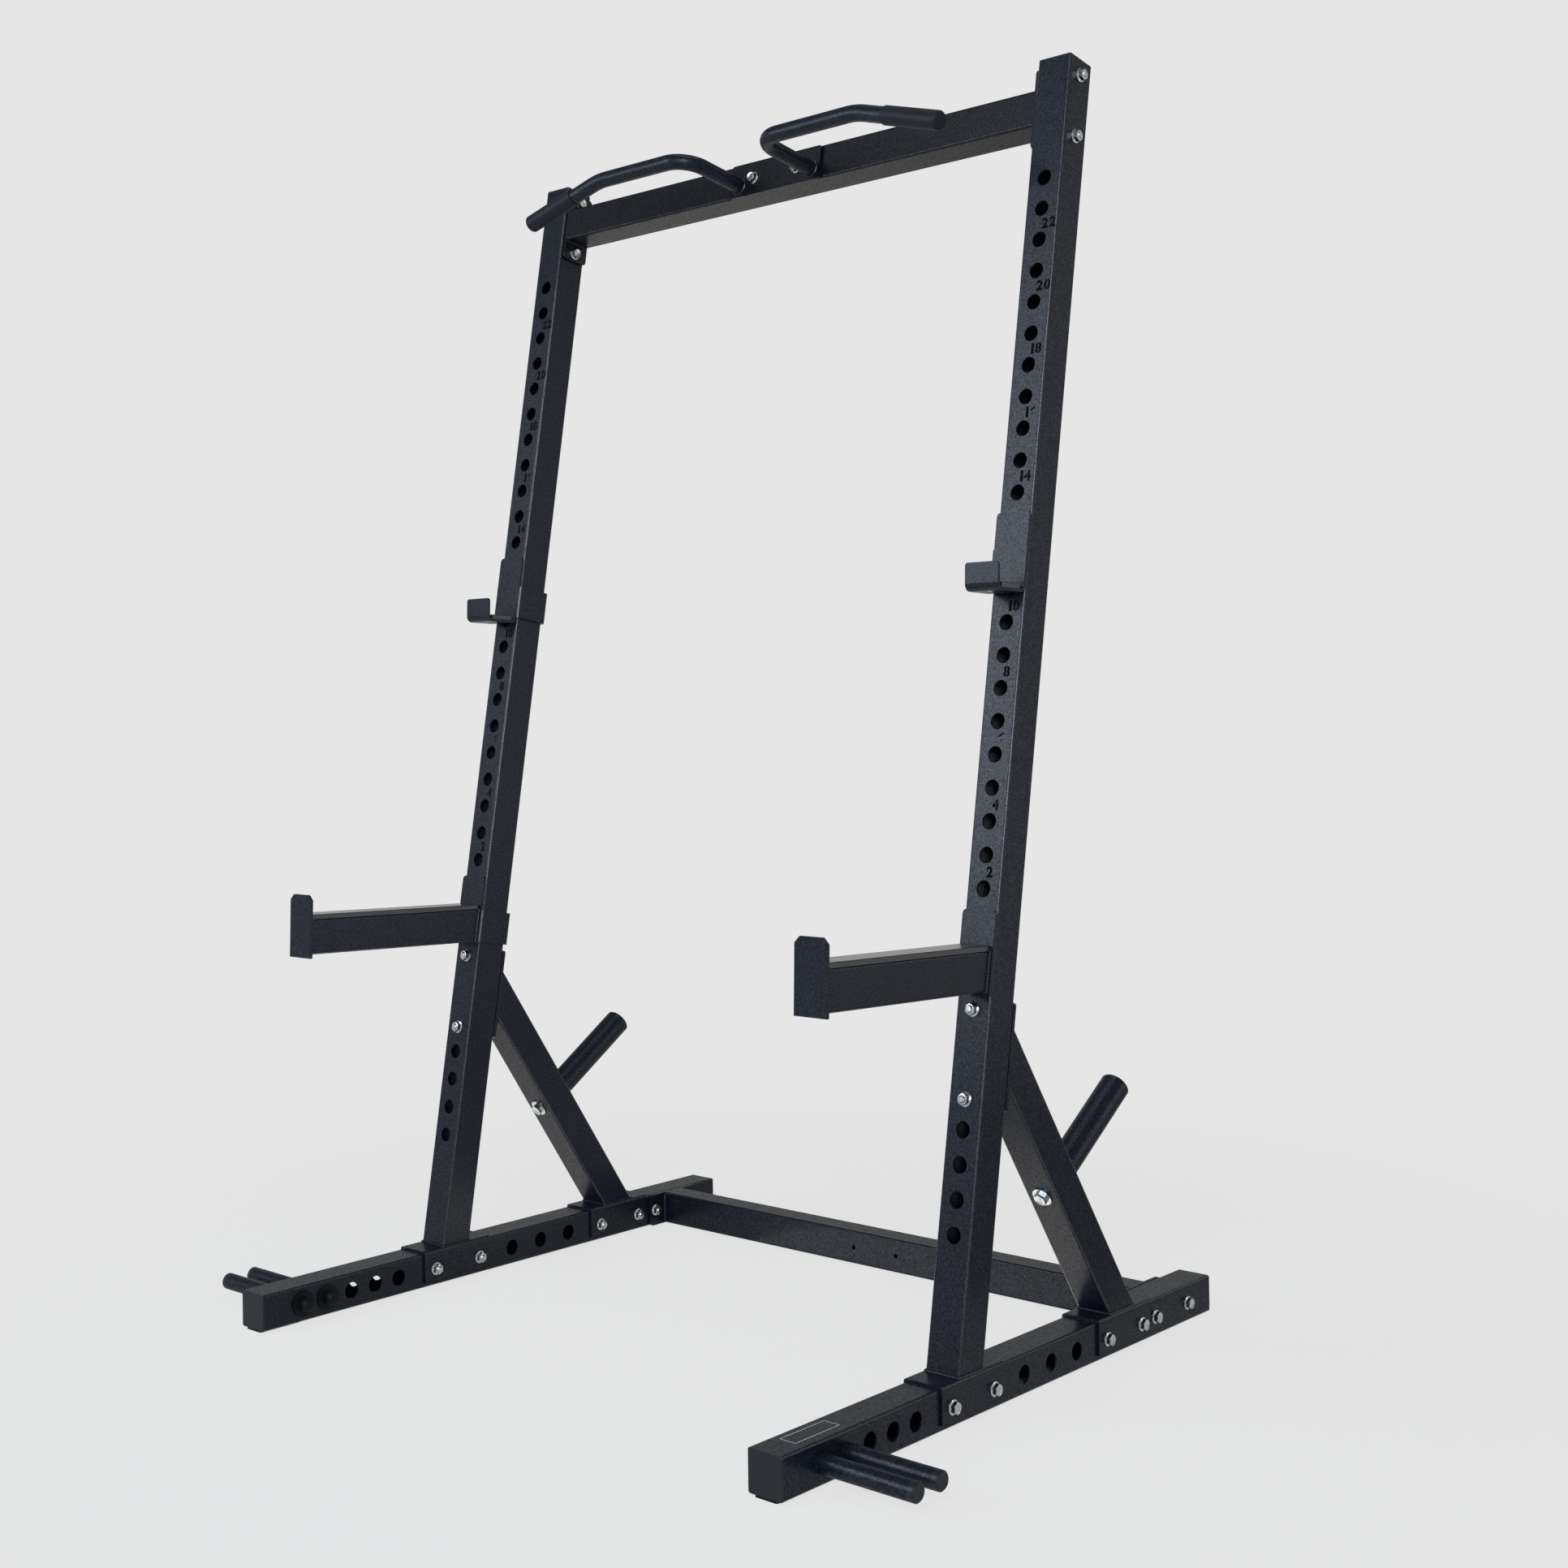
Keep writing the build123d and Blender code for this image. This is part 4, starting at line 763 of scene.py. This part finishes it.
# Printed frame on the right rail's top
LABEL_SIZE = (28 * MM, 90 * MM)
LABEL_PLACE = (571 * MM, -448 * MM)
LABEL_LINE = 1.1 * MM
LABEL_LIFT = 0.2 * MM
deselect()
rail_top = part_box("base_rail_right")[1].z
bpy.ops.mesh.primitive_plane_add(size=1, location=(*LABEL_PLACE, rail_top + LABEL_LIFT))
label = bpy.context.object
label.scale = (*LABEL_SIZE, 1)
bpy.ops.object.transform_apply(location=True, rotation=True, scale=True)
bpy.ops.object.mode_set(mode="EDIT")
bpy.ops.mesh.select_all(action="SELECT")
bpy.ops.mesh.inset(thickness=LABEL_LINE)
bpy.ops.mesh.delete(type="FACE")
bpy.ops.object.mode_set(mode="OBJECT")
finish_piece(label, "printed_rail_frame", white_ink, "frame")

# Finishes of the solids
slot_finish = {
    "frame_steel": powder_coat,
    "fitting_steel": fitting_coat,
    "cap_plastic": moulded_ends,
    "liner_plastic": wear_plastic,
    "pad_rubber": pad_rubber,
    "grip_rubber": sleeve_rubber,
    "zinc_steel": zinc,
    "screw_steel": zinc,
    "black_fastener": blackened_steel,
}
round_pieces = ("plate_horn", "band_peg", "pull_up_handle")
beam_pieces = ("pull_up_beam", "handle_plate")
for subpart in frame["record"]["subparts"]:
    node = frame["nodes"][subpart["node"]]
    node.data.materials.clear()
    finish = slot_finish[subpart["material_slot"]]
    if subpart["node"].startswith(round_pieces):
        finish = round_coat
    # The pull-up beam and its handle plate take the darker copy of the coat, whose colours carry painted
    # shade.
    if subpart["node"] in beam_pieces:
        finish = shaded_beam_coat
    node.data.materials.append(finish)

# Stage
BACKDROP = "#E6E6E6"
SHADOW_SHARE = 0.9             # of the floor's even tone round the rack, the rest shows its shadow
CEILING_SHARE = 0.3            # of the backdrop's tone left on the studio's ceiling
FLOOR_SIZE = 60
FLOOR_DROP = 0.2 * MM          # under the rack's pads
PATCH_DROP = 0.1 * MM          # under the pads, just over the floor
PATCH_TINT = "#FFFAF2"
CARD_LIFT = 0.1 * MM           # of a card that lies on the floor


def shows_backdrop(tree):
    """One for a ray that shows the plain backdrop, from the camera or by gloss or glass, and else nought."""
    ray = add(tree, "ShaderNodeLightPath").outputs
    seen = add(tree, "ShaderNodeMath", links={
        0: ray["Is Camera Ray"],
        1: ray["Is Glossy Ray"],
    }, operation="MAXIMUM").outputs[0]
    seen = add(tree, "ShaderNodeMath", links={
        0: seen,
        1: ray["Is Transmission Ray"],
    }, operation="MAXIMUM").outputs[0]
    return seen


world = bpy.data.worlds.new("studio")
bpy.context.scene.world = world
world.use_nodes = True
sky = world.node_tree
sky.nodes.clear()
seen = shows_backdrop(sky)
fill = add(sky, "ShaderNodeBackground", {"Color": linear("#DDE2E8"), "Strength": 0.2})
direction = add(sky, "ShaderNodeTexCoord").outputs["Generated"]
height = add(sky, "ShaderNodeSeparateXYZ", links={0: direction}).outputs["Z"]
ceiling = add(sky, "ShaderNodeMapRange", {
    "From Min": 0.4,
    "From Max": 0.6,
    "To Min": 1.0,
    "To Max": CEILING_SHARE,
}, {"Value": height}, interpolation_type="SMOOTHSTEP").outputs["Result"]
shown = add(sky, "ShaderNodeBackground", {"Color": linear(BACKDROP)}, {"Strength": ceiling})
both = add(sky, "ShaderNodeMixShader", links={0: seen, 1: fill.outputs[0], 2: shown.outputs[0]})
add(sky, "ShaderNodeOutputWorld", links={"Surface": both.outputs[0]})

deselect()
bpy.ops.mesh.primitive_plane_add(size=FLOOR_SIZE, location=(0, 0, -FLOOR_DROP))
floor = bpy.context.object
floor.name = "studio_floor"
floor_paint, tree = blank("pale_studio_floor")
seen = shows_backdrop(tree)
place = add(tree, "ShaderNodeTexCoord").outputs["Object"]
away = add(tree, "ShaderNodeVectorMath", links={0: place}, operation="LENGTH").outputs["Value"]
even = add(tree, "ShaderNodeMapRange", {
    "From Min": 0.9,
    "From Max": 2.6,
    "To Min": SHADOW_SHARE,
    "To Max": 1.0,
}, {"Value": away}, interpolation_type="SMOOTHSTEP").outputs["Result"]
seen = add(tree, "ShaderNodeMath", links={0: seen, 1: even}, operation="MULTIPLY").outputs[0]
matt = add(tree, "ShaderNodeBsdfDiffuse", {"Color": linear(BACKDROP)})
glow = add(tree, "ShaderNodeEmission", {"Color": linear(BACKDROP), "Strength": 1.0})
both = add(tree, "ShaderNodeMixShader", links={0: seen, 1: matt.outputs[0], 2: glow.outputs[0]})
add(tree, "ShaderNodeOutputMaterial", links={"Surface": both.outputs[0]})
floor.data.materials.append(floor_paint)


def lamp(name, place, aim, size, power, tint):
    """Soft box by its width and height, which points at a place and doesn't show itself."""
    data = bpy.data.lights.new(name, "AREA")
    data.color = linear(tint)[:3]
    data.shape = "RECTANGLE"
    data.size, data.size_y = size
    data.energy = power
    box = bpy.data.objects.new(name, data)
    box.visible_camera = False
    box.location = place
    box.rotation_euler = (Vector(aim) - Vector(place)).to_track_quat("-Z", "Y").to_euler()
    bpy.context.scene.collection.objects.link(box)


def bounce(name, across, along, size, power):
    """Bright patch of floor, which the coat above it shows."""
    lamp(name, (across, along, -PATCH_DROP), (across, along, 1.0), size, power, PATCH_TINT)


def card(name, place, aim, size, tint):
    """Sheet beside the stage, which shows only as a reflection in the coat."""
    deselect()
    bpy.ops.mesh.primitive_plane_add(size=1)
    sheet = bpy.context.object
    sheet.name = name
    turn = (Vector(aim) - Vector(place)).to_track_quat("Z", "Y").to_matrix().to_4x4()
    sheet.data.transform(Matrix.Translation(place) @ turn @ Matrix.Diagonal((*size, 1, 1)))
    paint, tree = blank(name)
    glow = add(tree, "ShaderNodeEmission", {"Color": linear(tint)})
    add(tree, "ShaderNodeOutputMaterial", links={"Surface": glow.outputs[0]})
    sheet.data.materials.append(paint)
    sheet.visible_camera = False
    sheet.visible_diffuse = False
    sheet.visible_shadow = False


lamp("left_soft_box", place=(-2.6, -4.2, 3.0), aim=(0.4, 0, 1.2), size=(3.0, 3.0), power=188,
     tint="#E8F2FF")
lamp("camera_soft_box", place=(3.0, -4.0, 2.8), aim=(0, 0, 1.1), size=(3.0, 3.0), power=250,
     tint="#EAF3FF")
lamp("top_soft_box", place=(0.4, 0.2, 4.8), aim=(0, 0, 0.8), size=(2.4, 2.4), power=30,
     tint="#FFFFFF")
lamp("right_strip_box", place=(5.25, 3.61, 1.45), aim=(-0.55, -0.3, 1.45), size=(1.0, 3.0), power=26,
     tint="#E8F2FF")
bounce("left_floor_bounce", across=-1.2, along=0.1, size=(1.1, 1.1), power=2.7)
bounce("middle_floor_bounce", across=0.12, along=0.19, size=(0.86, 0.38), power=1.25)
bounce("rear_floor_bounce", across=-2.9, along=2.3, size=(2.0, 2.0), power=8.5)
card("grey_floor_card", place=(1.5, 1.3, CARD_LIFT), aim=(1.5, 1.3, 1.0), size=(1.5, 1.9), tint="#949494")
card("black_card", place=(-2.35, -1.85, 3.35), aim=(-0.2, -0.16, 1.95), size=(1.7, 0.9), tint="#040404")

# Camera, as in the photograph
SENSOR = 36.0
FOCAL_LENGTH = 46.65
LENS_SHIFT = -0.0522
CAMERA_PLACE = (2.3398, -2.4786, 1.0126)
CAMERA_HEADING = radians(41.51)
CAMERA_TILT = radians(90.34)
CAMERA_ROLL = radians(-0.77)
lens = bpy.data.cameras.new("camera")
lens.sensor_width = SENSOR
lens.lens = FOCAL_LENGTH
lens.shift_y = LENS_SHIFT
camera = bpy.data.objects.new("camera", lens)
turn = Matrix.Rotation(CAMERA_HEADING, 4, "Z") @ Matrix.Rotation(CAMERA_TILT, 4, "X")
camera.matrix_world = Matrix.Translation(CAMERA_PLACE) @ turn @ Matrix.Rotation(CAMERA_ROLL, 4, "Z")
bpy.context.scene.collection.objects.link(camera)
bpy.context.scene.camera = camera
bpy.context.scene.view_settings.view_transform = "Standard"
